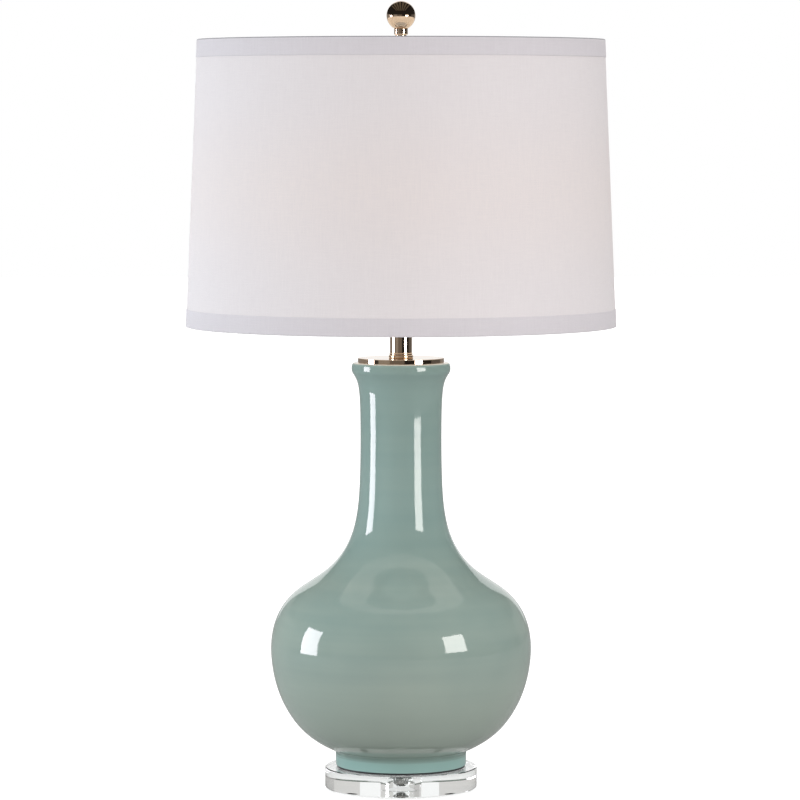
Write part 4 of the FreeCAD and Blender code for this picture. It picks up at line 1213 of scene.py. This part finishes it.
@dataclass
class Harp:
    """Saddle, wire bow, locking sleeves and the stud that carries the shade."""

    thickness: float = 1.6
    width: float = 12.7
    bend: float = 3.0
    arm_height: float = 16.0
    reach: float = 29.0
    post_width: float = 3.4
    post_height: float = 7.0
    wire: float = 2.0
    bow: tuple[tuple[float, ...], ...] = ((29, 0), (29, 38, 60), (56, 95, 120), (56, 242, 48), (0, 242))
    sleeve_bore: float = 2.08
    sleeve_radius: float = 3.48
    collar_radius: float = 6.5
    collar_height: float = 7.0
    stud_radius: float = 3.15
    pitch: float = 0.94

    def build(self) -> None:
        """Build every piece of the harp."""
        self.build_saddle()
        self.build_bow()
        self.build_sleeve("left_lock_sleeve", "harp_sleeve_left", Body.LEFT_SLEEVE, -self.reach)
        self.build_sleeve("right_lock_sleeve", "harp_sleeve_right", Body.RIGHT_SLEEVE, self.reach)
        self.build_stud()

    def build_saddle(self) -> None:
        """Strip bent up at both ends, with a narrow post on each arm."""
        seat, half, arm = span("harp_saddle")[0], self.thickness / 2, self.arm_height
        line = rounded([
            (-self.reach, arm), (-self.reach, half, self.bend + half),
            (self.reach, half, self.bend + half), (self.reach, arm)], closed=False, steps=8)
        strip = swept(in_plane(line, seat), block_section(self.thickness, self.width, 0.35), (0, 1, 0))
        dress("harp_seat", [strip], PolishedNickel(), "harp_saddle", crease=35,
              cutters=[rod(5.5, seat - 1, seat + 3)])
        tall = arm + self.post_height
        rise, scale = np.array([arm - 0.5, tall - 1.2, tall - 0.4, tall]), np.array([1, 1, 0.85, 0.6])
        section = block_section(self.thickness, self.post_width, 0.3)
        posts = [swept(in_plane(upright(side * self.reach, rise), seat), section, (0, 1, 0), scale)
                 for side in (-1, 1)]
        dress("harp_posts", posts, PolishedNickel(), "harp_saddle", crease=35)

    def build_bow(self) -> None:
        """Round wire from post to post, in two mirrored halves of straight runs and arcs."""
        half = rounded(self.bow, closed=False, steps=24)
        line = np.vstack([half, (half[::-1] * np.array([-1, 1]))[1:]])
        bow = swept(in_plane(line, span("harp_bow")[0]), disc_section(self.wire, 24), (0, 1, 0))
        dress("harp_wire", [bow], PolishedNickel(), "harp_bow", crease=50)

    def build_sleeve(self, name: str, node: str, body: Body, across: float) -> None:
        """Locking sleeve with a rolled edge at both ends.

        Args:
            name: the piece's name.
            node: the node that it replaces.
            body: the body it rides on.
            across: where its axis is, along X.
        """
        (low, high), bore, outer = span(node), self.sleeve_bore, self.sleeve_radius
        section = rounded([
            (bore, low, 0.2), (outer, low, 0.5), (outer, low + 1.6, 0.3), (outer - 0.3, low + 2.1, 0.3),
            (outer - 0.3, high - 2.1, 0.3), (outer, high - 1.6, 0.3), (outer, high, 0.5), (bore, high, 0.2)],
            steps=4)
        dress(name, [lathe(section, 48).moved(across)], PolishedNickel(), node, body=body)

    def build_stud(self) -> None:
        """Collar on the wire, with a threaded stud above it."""
        (low, high), stud = span("harp_stud"), self.stud_radius
        face = low + self.collar_height
        wide = self.collar_radius
        collar = rounded([(0, low), (wide, low, 0.6), (wide, face, 0.4), (stud, face)], closed=False)
        section = np.vstack([collar, upright(stud, np.arange(face + 0.6, high - 0.5, 0.16)),
                             [(stud - 0.5, high), (0, high)]])
        cut = thread(self.pitch, 0.45, face + 0.4, high, stud - 0.1)
        dress("harp_stud_screw", [lathe(section, 64, closed=False, ripple=cut)], PolishedNickel(), "harp_stud",
              crease=45)


# ------------------------------------------------------------------ socket


@dataclass
class Socket:
    """Cap, shell, liner, screw shell and the turn switch."""

    pipe_bore: float = 5.2
    hub_radius: float = 9.0
    hub_height: float = 8.0
    radius: float = 17.2
    wall: float = 1.0
    cone: float = 4.5
    shell_radius: float = 16.15
    shell_wall: float = 0.6
    bead: float = 0.9
    liner_radius: float = 15.45
    liner_wall: float = 0.8
    slot_width: float = 8.0
    slot_top: float = 549.4
    screw_pitch: float = 3.63
    screw_wall: float = 0.4
    knob_radius: float = 6.0
    knob_tip: float = 5.4
    shaft_radius: float = 1.8

    def build(self) -> None:
        """Build every piece of the socket, and paint those of the frame that stay."""
        self.build_cap()
        self.build_set_screw()
        self.build_shell()
        self.build_screw_shell()
        self.build_switch()
        repaint("socket_interior", BlackPlastic())
        repaint("terminal_screws", ContactBrass())
        repaint("centre_contact", ContactBrass())

    def build_cap(self) -> None:
        """Spun cup with a rolled rim on a turned hub."""
        (low, high), wide, inner = span("socket_cap"), self.radius, self.radius - self.wall
        hub, floor = low + self.hub_height, low + self.hub_height + self.wall
        section = rounded([
            (self.pipe_bore, low, 0.3), (self.hub_radius, low, 0.6), (self.hub_radius, hub, 0.6),
            (wide, hub + self.cone, 2.4), (wide, high - 3.2, 0.3), (wide - 0.35, high - 2.8, 0.3),
            (wide - 0.35, high - 2.2, 0.3), (wide, high - 1.8, 0.3), (wide, high, 0.4),
            (inner, high, 0.3), (inner, floor + self.cone, 1.6), (self.hub_radius, floor, 0.5),
            (self.pipe_bore, floor)], steps=5)
        hole = rod(1.6, self.hub_radius - 4.5, self.hub_radius + 2, 32)
        dress("socket_cup", [lathe(section, 128)], SatinNickel(), "socket_cap", crease=40,
              cutters=[hole.laid(Towards.BACK, low + self.hub_height / 2)])

    def build_set_screw(self) -> None:
        """Thumb screw through the hub, at the back."""
        (start, end), middle, hub = span("socket_set_screw", 1), middle_of("socket_set_screw"), self.hub_radius
        head = rounded([(1.6, hub), (3.0, hub, 0.35), (3.0, end, 0.5), (0, end)], closed=False)
        section = resampled(np.vstack([[(0, start), (1.5, start), (1.5, hub)], head]), 0.5)
        screw = lathe(section, 96, closed=False, ripple=flutes(16, 0.22, 2.6, 0.7)).laid(Towards.BACK, middle)
        dress("hub_thumb_screw", [screw], ZincSteel(), "socket_set_screw", crease=40,
              cutters=[box_surface((-0.35, end - 0.7, middle - 4), (0.35, end + 1, middle + 4))])

    def build_shell(self) -> None:
        """Thin shell with two pressed ribs and a rolled mouth, and its paper liner, both slotted."""
        (low, high), outer, inner = span("socket_shell"), self.shell_radius, self.shell_radius - self.shell_wall
        ribs = []
        for middle in (high - 16.0, high - 12.0):
            ribs += [(outer, middle - 1.2, 0.5), (outer - 0.3, middle, 0.6), (outer, middle + 1.2, 0.5)]
        section = rounded([
            (inner, low), (outer, low, 0.2), *ribs, (outer, high - 1.8, 0.3),
            (outer + self.bead, high - 1.4, 0.5), (outer + self.bead, high - 0.3, 0.5),
            (inner, high, 0.25)], steps=4)
        slot = box_surface((-self.slot_width / 2, -24, low - 3), (self.slot_width / 2, -8, self.slot_top))
        dress("socket_sleeve", [lathe(section, 144)], SatinNickel(), "socket_shell", crease=40, cutters=[slot])
        (low, high), outer, inner = span("socket_liner"), self.liner_radius, self.liner_radius - self.liner_wall
        section = rounded([(inner, low), (outer, low), (outer, high, 0.2), (inner, high, 0.2)])
        dress("paper_liner", [lathe(section, 128)], LinerPaper(), "socket_liner", cutters=[slot])

    def build_screw_shell(self) -> None:
        """Rolled thread that the bulb screws into: both faces follow one helix."""
        (base, top), outer, wall = span("screw_shell"), span("screw_shell", 0)[1], self.screw_wall
        rise = np.linspace(base, top, 60)
        section = np.vstack([
            [(outer - 2.4, base), (outer, base)], upright(outer, rise)[1:],
            upright(outer - wall, rise)[::-1][:-2], [(outer - wall, base + wall), (outer - 2.4, base + wall)]])
        shell = lathe(section, 96, ripple=thread(self.screw_pitch, 0.35, base + 2, top - 0.5, outer - 1.0))
        dress("bulb_screw_shell", [shell], Aluminium(), "screw_shell", crease=50)

    def build_switch(self) -> None:
        """Shaft towards the front, and a fluted knob with a rounded end."""
        middle, bore = middle_of("switch_shaft"), self.shaft_radius
        back, front = span("switch_shaft", 1)
        shaft = lathe(rounded([(0, -front), (bore, -front, 0.2), (bore, -back, 0.3), (0, -back)]), 40)
        dress("switch_spindle", [shaft.laid(Towards.FRONT, middle)], ZincSteel(), "switch_shaft",
              body=Body.SWITCH)
        end, start = (-place for place in span("switch_knob", 1))
        skirt = rounded([
            (bore, start, 0.2), (self.knob_radius, start, 0.8), (self.knob_tip, end, 1.2), (0, end)],
            closed=False)
        section = np.vstack([[(0, start + 4.5), (bore, start + 4.5)], resampled(skirt, 0.5)])
        knob = lathe(section, 240, closed=False, ripple=flutes(12, 0.8, 3.6, 0.55))
        dress("fluted_knob", [knob.laid(Towards.FRONT, middle)], BlackPlastic(), "switch_knob",
              body=Body.SWITCH, crease=50)


# ------------------------------------------------------------------ bulb


@dataclass
class Bulb:
    """Pear-shaped frosted bulb with a screw cap."""

    thread_radius: float = 13.2
    pitch: float = 3.63
    cap_wall: float = 0.5
    neck: float = 12.4
    belly: float = 33.5
    neck_top: float = 34.0
    belly_height: float = 74.0
    length: float = 130.0
    glass_wall: float = 0.9

    def build(self) -> None:
        """Build the bulb's four pieces."""
        (seat, high), wide = span("bulb_contact"), span("bulb_contact", 0)[1]
        tip = rounded([(0, seat), (2.2, seat, 1.2), (wide, seat + 0.8, 0.2), (wide, high), (0, high)])
        dress("bulb_solder_tip", [lathe(tip, 48)], Solder(), "bulb_contact", body=Body.BULB)
        (low, high), wide = span("bulb_insulator"), span("bulb_insulator", 0)[1]
        cone = rounded([(0, low), (4.2, low), (wide, high - 0.3, 0.4), (wide - 0.3, high), (0, high)])
        dress("bulb_black_cone", [lathe(cone, 64)], BlackGlass(), "bulb_insulator", body=Body.BULB)
        self.build_cap()
        self.build_glass(seat)

    def build_cap(self) -> None:
        """Screw cap: a cup whose wall is rolled into four turns of thread."""
        (low, high), wide, wall = span("bulb_base"), self.thread_radius, self.cap_wall
        inner = wide - wall - 0.5
        section = np.vstack([
            [(0, low), (wide - 1.7, low), (wide - 0.6, low + 0.6), (wide - 0.2, low + 1.4)],
            upright(wide, np.arange(low + 2.0, high - 3.0, 0.3)),
            [(wide - 0.6, high - 2.6), (wide - 0.6, high), (inner, high), (inner, low + wall),
             (0, low + wall)]])
        cut = thread(self.pitch, 0.75, low + 1.2, high - 3.0, wide - 0.5)
        cap = lathe(section, 96, closed=False, ripple=cut)
        dress("bulb_screw_cap", [cap], Aluminium(), "bulb_base", body=Body.BULB, crease=50)

    def build_glass(self, seat: float) -> None:
        """Envelope turned from neck, shoulder, belly and crown, with its wall inside."""
        faces = []
        for wall in (0.0, self.glass_wall):
            neck, belly, top = self.neck - wall, self.belly - wall, self.length - wall
            faces.append(rounded([
                (neck, span("bulb_glass")[0] - seat), (neck, self.neck_top, 20 + wall),
                (belly, self.belly_height, 60 - wall), (belly, top, 33 - wall), (0, top)],
                closed=False, steps=20))
        glass = lathe(np.vstack([faces[0], faces[1][::-1]]), 128).moved(z=seat)
        dress("bulb_envelope", [glass], FrostedGlass(), "bulb_glass", body=Body.BULB, crease=60)


# ------------------------------------------------------------------ shade


@dataclass
class Shade:
    """Tapered drum: wire frame, liner, linen, folded edge bands and the seam at the back."""

    bottom_radius: float = 228.6
    taper: float = 12.7
    height: float = 303.5
    band: float = 19.0
    band_thickness: float = 0.45
    cloth_setback: float = 0.55
    cloth: float = 0.6
    liner_setback: float = 1.2
    liner: float = 0.8
    seam_width: float = 10.0
    seam_lap: float = 0.3
    wire: float = 2.2
    wire_setback: float = 4.25
    wire_edge: float = 3.0
    spoke: float = 2.0
    hub_radius: float = 11.0
    hub_hole: float = 3.45
    hub_thickness: float = 2.5
    rise_run: float = 25.8
    spoke_bend: float = 14.0
    around: int = 288

    def build(self) -> None:
        """Build every piece of the shade."""
        self.build_frame()
        self.build_wall("styrene_lining", "shade_liner", WhiteStyrene(), self.liner_setback, self.liner, 0.8)
        self.build_wall("linen_cover", "shade_fabric", ShadeLinen(), self.cloth_setback, self.cloth, 0.9)
        self.build_band("lower_edge_band", "shade_bottom_trim", False)
        self.build_band("upper_edge_band", "shade_top_trim", True)
        self.build_seam()

    @property
    def seat(self) -> float:
        """Height of the shade's lower edge."""
        return span("shade_liner")[0]

    def radius_at(self, height: float | Array) -> float | Array:
        """Outer radius of the shade at a height above its lower edge."""
        return self.bottom_radius - self.taper * height / self.height

    def build_wall(self, name: str, node: str, finish: Finish, setback: float, thickness: float,
                   edge: float) -> None:
        """Tapered wall of one material, stopping just short of both folded edges.

        Args:
            name: the piece's name.
            node: the node that it replaces.
            finish: its finish.
            setback: how far its outer face is inside the shade's.
            thickness: its thickness.
            edge: how far it stops from the shade's edges.
        """
        rise = np.linspace(edge, self.height - edge, 40)
        outer = np.stack([self.radius_at(rise) - setback, rise], axis=1)
        wall = lathe(np.vstack([outer, outer[::-1] - np.array([thickness, 0])]), self.around)
        dress(name, [wall.moved(z=self.seat)], finish, node, body=Body.SHADE, crease=40)

    def build_band(self, name: str, node: str, upper: bool) -> None:
        """Edge band: a strip down the outside, folded over the edge and rolled round the wire.

        The strip's middle line is drawn as (distance in from the shade's outer face, distance
        from its edge), and its two faces are that line moved to both sides by half the thickness.

        Args:
            name: the piece's name.
            node: the node that it replaces.
            upper: whether it is the upper band.
        """
        half, roll = self.band_thickness / 2, self.wire + self.band_thickness / 2 + 0.05
        centre = np.array([self.wire_setback, self.wire_edge])
        line = resampled(np.vstack([
            [(half + 0.2, self.band + 0.02), (half, self.band - 0.4)],
            rounded([(half, self.band - 0.8), (half, half + 0.02, 0.9), (centre[0], centre[1] - roll)],
                    closed=False)[:-1],
            centre + circle(roll, np.radians(np.linspace(-80, 120, 22)))]), 1.6)
        along = unit(np.gradient(line, axis=0))
        side = np.stack([-along[:, 1], along[:, 0]], axis=1) * half
        inward, from_edge = np.vstack([line + side, (line - side)[::-1]]).T
        height = self.height - from_edge if upper else from_edge
        section = np.stack([self.radius_at(height) - inward, height], axis=1)
        band = lathe(self.counter_clockwise(section), self.around).moved(z=self.seat)
        dress(name, [band], TrimLinen(), node, body=Body.SHADE, crease=50)

    @staticmethod
    def counter_clockwise(section: Array) -> Array:
        """The section in the order that keeps its solid on the left: its signed area is above nought."""
        x, y = section.T
        return section if np.sum(x * np.roll(y, -1) - np.roll(x, -1) * y) > 0 else section[::-1]

    def build_seam(self) -> None:
        """Lapped seam of the linen at the back: a second thickness with a turned edge."""
        half_angle = self.seam_width / 2 / self.bottom_radius
        turn = math.pi / 2 + np.linspace(-half_angle, half_angle, 12)[:, None]
        rise = np.linspace(self.band + 0.1, self.height - self.band - 0.1, 30)
        lift = np.minimum(1, np.array([0, 4, 8, 10, 10, 10, 10, 10, 10, 8, 4, 0]) / 10)[:, None] * self.seam_lap
        radius = self.radius_at(rise)[None, :] - self.cloth_setback + lift - 0.02
        outer = np.stack([radius * np.cos(turn), radius * np.sin(turn),
                          np.broadcast_to(rise, radius.shape) + self.seat], axis=-1)
        inner = outer[::-1] * np.array([0.9985, 0.9985, 1])
        dress("linen_seam", [Surface(np.concatenate([outer, inner]))], ShadeLinen(), body=Body.SHADE, crease=60)

    def hoop(self, height: float) -> Surface:
        """Wire ring just inside the shade's wall: a circle turned about the axis.

        Args:
            height: height of the wire's middle above the shade's lower edge.

        Returns:
            The ring, in place.
        """
        section = disc_section(self.wire, 20) + np.array([self.radius_at(height) - self.wire_setback, height])
        return lathe(section, self.around).moved(z=self.seat)

    def build_frame(self) -> None:
        """Welded frame: hub, three cranked spokes and the top ring; and the bottom ring."""
        seat, ring = span("finial_neck")[0], self.height - self.wire_edge
        ring_radius, middle = self.radius_at(ring) - self.wire_setback, seat - self.hub_thickness / 2
        hub = ring_section(self.hub_hole, self.hub_radius, seat - self.hub_thickness, seat, 0.3, 0.5, 4)
        line = rounded([
            (self.hub_radius - 3, middle), (ring_radius - self.rise_run, middle, self.spoke_bend),
            (ring_radius, self.seat + ring)], closed=False, steps=30)
        path = in_plane(resampled(line, 12), along=1)
        run = run_along(path)
        weld = 1 + 0.3 * np.exp(-((run - run[-1]) / 2.5) ** 2)
        arm = swept(path, disc_section(self.spoke, 20), (1, 0, 0), weld)
        parts = [lathe(hub, 72), self.hoop(ring), *(arm.spun(turn) for turn in (0, 120, 240))]
        dress("spider_frame", parts, WhiteWire(), "spider_fitter", body=Body.SHADE, crease=50)
        dress("lower_wire_ring", [self.hoop(self.wire_edge)], WhiteWire(), "shade_bottom_ring",
              body=Body.SHADE, crease=50)


# ------------------------------------------------------------------ finial


@dataclass
class Finial:
    """Polished ball on a collared stem."""

    bore: float = 3.2
    thread_depth: float = 15.0
    base: float = 7.5
    base_height: float = 3.0
    stem: float = 5.8
    stem_height: float = 11.6
    collar: float = 7.3
    collar_height: float = 6.8
    tenon: float = 4.0
    tenon_height: float = 5.9
    ball: float = 15.4

    def build(self) -> None:
        """Build the stem and the ball, which has a pocket for the stem's tenon."""
        seat = span("finial_neck")[0]
        waist, shoulder = seat + self.base_height, seat + self.base_height + self.stem_height
        top, deep = shoulder + self.collar_height, seat + self.thread_depth
        end = top + self.tenon_height
        section = rounded([
            (self.bore, seat, 0.3), (self.base, seat, 0.8), (self.base, waist, 0.8), (self.stem, waist, 0.4),
            (self.stem, shoulder, 0.4), (self.collar, shoulder, 0.8), (self.collar, top, 0.4), (self.tenon, top),
            (self.tenon, end), (0, end)], closed=False)
        stem = lathe(np.vstack([[(0, deep), (self.bore, deep)], section]), 96, closed=False)
        dress("finial_stem", [stem], PolishedNickel(), "finial_neck", body=Body.FINIAL, crease=40)
        centre = top + math.sqrt(self.ball**2 - self.collar**2)
        turn = np.linspace(-math.acos(self.collar / self.ball), math.pi / 2, 72)
        globe = circle(self.ball, turn) + np.array([0, centre])
        globe[-1, 0] = 0
        pocket, roof = self.tenon + 0.03, end + 0.13
        section = np.vstack([[(0, roof), (pocket, roof), (pocket, top)], globe])
        dress("finial_globe", [lathe(section, 128, closed=False)], PolishedNickel(), "finial_ball",
              body=Body.FINIAL, crease=40)


# ------------------------------------------------------------------ studio


def glowing(name: str, tint: Colour, level: float, seen_through: float = 0.0) -> bpy.types.Material:
    """Material that only gives light.

    Args:
        name: the material's name.
        tint: its colour.
        level: its strength in reflections.
        seen_through: strength that acrylic shows besides. Where it is given, the light also
            fades to near black above head height.

    Returns:
        The material.
    """
    made, graph = bare_material(name)
    strength: object = level
    if seen_through:
        height = graph.parts(graph.node("ShaderNodeTexCoord").outputs["Object"])["Z"]
        through = graph.node("ShaderNodeLightPath").outputs["Is Transmission Ray"]
        strength = graph.maths("MULTIPLY_ADD", through, seen_through, graph.ramp(height, 0.95, 1.3, level, 0.02))
    light = graph.node("ShaderNodeEmission", {"Color": (*tint, 1.0), "Strength": strength})
    graph.feed(made.node_tree.nodes["Material Output"].inputs["Surface"], light.outputs[0])
    return made


def bare_material(name: str) -> tuple[bpy.types.Material, Graph]:
    """New material without its shader, and its nodes."""
    made = bpy.data.materials.new(name)
    made.use_nodes = True
    made.node_tree.nodes.remove(made.node_tree.nodes["Principled BSDF"])
    return made, Graph(made.node_tree)


def stage(name: str, surfaces: Sequence[Surface], material: bpy.types.Material, hidden: bool = True) -> None:
    """Build a piece of the studio, with one material.

    Args:
        name: the piece's name.
        surfaces: its surfaces.
        material: its material.
        hidden: whether only reflections and clear pieces show it.
    """
    item = make_mesh(name, surfaces)
    item.data.materials.append(material)
    if hidden:
        item.visible_camera = item.visible_diffuse = item.visible_shadow = False
        item.visible_volume_scatter = False


def level_disc(radii: Sequence[float], height: float, count: int) -> Array:
    """Points of a level disc in millimetres: rings of the given radii in metres, facing down."""
    turn = np.arange(count)[:, None] * 2 * math.pi / count
    radius = np.array(radii)[None]
    points = np.broadcast_arrays(radius * np.cos(turn), radius * np.sin(turn), height)
    return np.stack(points, axis=-1) / METRE


@dataclass(frozen=True)
class Softbox:
    """Soft light at one side: a lamp for matt surfaces and a card that gloss reflects.

    Both face the vase. Each is given as (bearing, strength, tint), the bearing in degrees to
    the right of the camera's side, seen from the object.
    """

    name: str
    distance: float
    height: float
    size: tuple[float, float]
    lamp: tuple[float, float, Colour]
    card: tuple[float, float, Colour]

    def stand(self, bearing: float) -> tuple[Vector, Matrix]:
        """Place and rotation of something at a bearing that faces the vase."""
        turn = math.radians(bearing)
        place = Vector((self.distance * math.sin(turn), -self.distance * math.cos(turn), self.height))
        return place, (Vector((0, 0, self.height)) - place).to_track_quat("-Z", "Y").to_matrix()

    def build(self) -> None:
        """Build the lamp, and the evenly lit card with slightly rounded corners."""
        place, aim = self.stand(self.lamp[0])
        data = bpy.data.lights.new(self.name, "AREA")
        data.shape, data.size, data.size_y = "RECTANGLE", *self.size
        data.energy, data.color = self.lamp[1:]
        lamp = bpy.data.objects.new(self.name, data)
        lamp.location, lamp.rotation_euler = place, aim.to_euler()
        lamp.visible_camera = lamp.visible_glossy = False
        bpy.context.scene.collection.objects.link(lamp)
        place, aim = self.stand(self.card[0])
        rim = block_section(*(np.array(self.size) / METRE), 25.0)
        rings = np.stack([rim * share for share in (0.0, 0.8, 0.93, 1.0)], axis=1)
        flat = np.concatenate([rings, np.zeros((*rings.shape[:2], 1))], axis=2)
        points = flat @ np.array(aim).T + np.array(place) / METRE
        stage(f"{self.name}_card", [Surface(points)], glowing(f"{self.name}_glow", self.card[2], self.card[1]))


@dataclass(frozen=True)
class Panel:
    """Upright part of the room's wall, between two bearings in degrees, with its brightness."""

    name: str
    start: float
    end: float
    level: float
    tint: Colour
    seen_through: float = 0.42

    def build(self, radius: float, height: float) -> None:
        """Build the panel as part of a cylinder round the lamp.

        Args:
            radius: radius of the wall, in metres.
            height: height of the wall, in metres.
        """
        turn = np.radians(np.linspace(self.end, self.start, max(3, int((self.end - self.start) / 3))))[:, None]
        rise = np.linspace(-0.05, height, 8)[None]
        points = np.stack(np.broadcast_arrays(radius * np.sin(turn), -radius * np.cos(turn), rise), axis=-1)
        stage(f"{self.name}_panel", [Surface(points / METRE, wrap_around=False)],
              glowing(f"{self.name}_glow", self.tint, self.level, self.seen_through))


@dataclass
class Studio:
    """Camera, softboxes, floor and the room that the metal reflects. Sizes in metres."""

    camera_place: tuple[float, float, float] = (-0.00106, -4.4804, 0.72085)
    camera_pitch: float = 86.1
    lens: float = 190.04
    fill: float = 1.05
    softboxes: tuple[Softbox, ...] = (
        Softbox("left_softbox", 1.6, 0.455, (0.55, 0.76),
                (-86, 8.2, (0.79, 0.91, 1.0)), (-86, 13.0, (0.98, 0.93, 1.0))),
        Softbox("right_softbox", 1.4, 0.545, (0.50, 0.58),
                (30, 3.3, (1.0, 0.98, 0.97)), (47.5, 12.0, (1.0, 0.97, 0.94))))
    room: tuple[Panel, ...] = (
        Panel("far_left", -160, -100, 0.27, (1.0, 0.98, 0.96)),
        Panel("left", -100, -62, 0.05, (1.0, 0.97, 0.94)),
        Panel("left_front", -62, -30, 0.30, (1.0, 0.97, 0.92)),
        Panel("front", -30, 9, 0.16, (1.0, 0.92, 0.84)),
        Panel("right_front", 9, 88, 0.02, (1.0, 0.94, 0.9)),
        Panel("right", 88, 130, 0.12, (1.0, 0.98, 0.96)),
        Panel("far_right", 130, 158, 0.28, (1.0, 0.98, 0.96)))
    wall_radius: float = 3.4
    wall_height: float = 3.4
    front_floor: float = 0.13
    beams: tuple[float, ...] = (-2.3, -1.5, -0.85, -0.2, 0.45, 1.1, 1.9)
    beam_width: float = 0.36

    def build(self) -> None:
        """Build the studio."""
        self.build_camera()
        self.build_world()
        for softbox in self.softboxes:
            softbox.build()
        self.build_floor()
        self.build_room()
        bpy.context.scene.view_settings.view_transform = "Standard"

    def build_camera(self) -> None:
        """Camera fitted to the photograph's height, tilt and angle of view."""
        data = bpy.data.cameras.new("view")
        data.lens, data.sensor_width = self.lens, 36.0
        camera = bpy.data.objects.new("view", data)
        camera.location, camera.rotation_euler = self.camera_place, (math.radians(self.camera_pitch), 0, 0)
        bpy.context.scene.collection.objects.link(camera)
        bpy.context.scene.camera = camera

    def build_world(self) -> None:
        """White for what the camera, metal and glass see, and an even fill for the rest."""
        world = bpy.data.worlds.new("studio")
        world.use_nodes = True
        graph = Graph(world.node_tree)
        rays = graph.node("ShaderNodeLightPath").outputs
        seen = graph.maths("MAXIMUM", rays["Is Camera Ray"], rays["Is Glossy Ray"])
        seen = graph.maths("MAXIMUM", seen, rays["Is Transmission Ray"])
        background = world.node_tree.nodes["Background"].inputs
        graph.feed(background["Color"], (1, 1, 1, 1))
        graph.feed(background["Strength"], graph.ramp(seen, 0.0, 1.0, self.fill, 1.0, "LINEAR"))
        bpy.context.scene.world = world

    def build_floor(self) -> None:
        """Wide pale floor. The camera sees it as white, and it keeps the lamp's shadow.

        Gloss and acrylic show it darker, as the room in the photograph is.
        """
        material, graph = bare_material("pale_floor")
        rays = graph.node("ShaderNodeLightPath").outputs
        place = graph.node("ShaderNodeTexCoord").outputs["Object"]
        away = graph.node("ShaderNodeVectorMath", {0: place}, operation="LENGTH").outputs["Value"]
        mirrored = graph.product(rays["Is Glossy Ray"],
                                 graph.ramp(graph.parts(place)["Y"], -0.1, 0.6, self.front_floor, 0.0))
        through = graph.product(rays["Is Transmission Ray"], graph.ramp(away, 0.09, 0.16, 0.6, 0.16))
        direct = graph.maths("MULTIPLY_ADD", rays["Is Camera Ray"], 0.8, through)
        indirect = graph.maths("MAXIMUM", rays["Is Glossy Ray"], rays["Is Transmission Ray"])
        colour = graph.blend(indirect, (0.5, 0.5, 0.49, 1.0), (0.34, 0.34, 0.335, 1.0))
        matt = graph.node("ShaderNodeBsdfDiffuse", {"Color": colour})
        light = graph.node("ShaderNodeEmission", {
            "Color": (1, 1, 1, 1), "Strength": graph.maths("ADD", mirrored, direct)})
        both = graph.node("ShaderNodeAddShader", {0: matt.outputs[0], 1: light.outputs[0]})
        graph.feed(material.node_tree.nodes["Material Output"].inputs["Surface"], both.outputs[0])
        points = level_disc([0.0, 0.4, 1.2, 4.0, 14.0], 0.0, 128)
        stage("studio_floor", [Surface(points[::-1])], material, hidden=False)

    def build_room(self) -> None:
        """Dark room round the lamp, open behind it, seen only in reflections and through acrylic."""
        for panel in self.room:
            panel.build(self.wall_radius, self.wall_height)
        ceiling = Surface(level_disc([0.0, self.wall_radius], self.wall_height, 64))
        stage("studio_ceiling", [ceiling], glowing("ceiling_glow", (1.0, 0.95, 0.9), 0.015))
        section = block_section(self.beam_width / METRE, 40, 5)
        beams = [swept(np.array([(across, -3.2, 3.3), (across, 2.8, 3.3)]) / METRE, section, (0, 0, 1))
                 for across in self.beams]
        stage("ceiling_beams", beams, glowing("beam_glow", (1.0, 0.9, 0.7), 0.12))


def main() -> None:
    """Build the studio and the lamp's sub-assemblies, from the surface up."""
    logging.basicConfig(level=logging.INFO, format="%(name)s %(message)s")
    Studio().build()
    for part in (Base(), Vase(), Neck(), Harp(), Socket(), Bulb(), Shade(), Finial()):
        LOG.info("building %s", type(part).__name__)
        part.build()


if __name__ == "__main__":
    main()
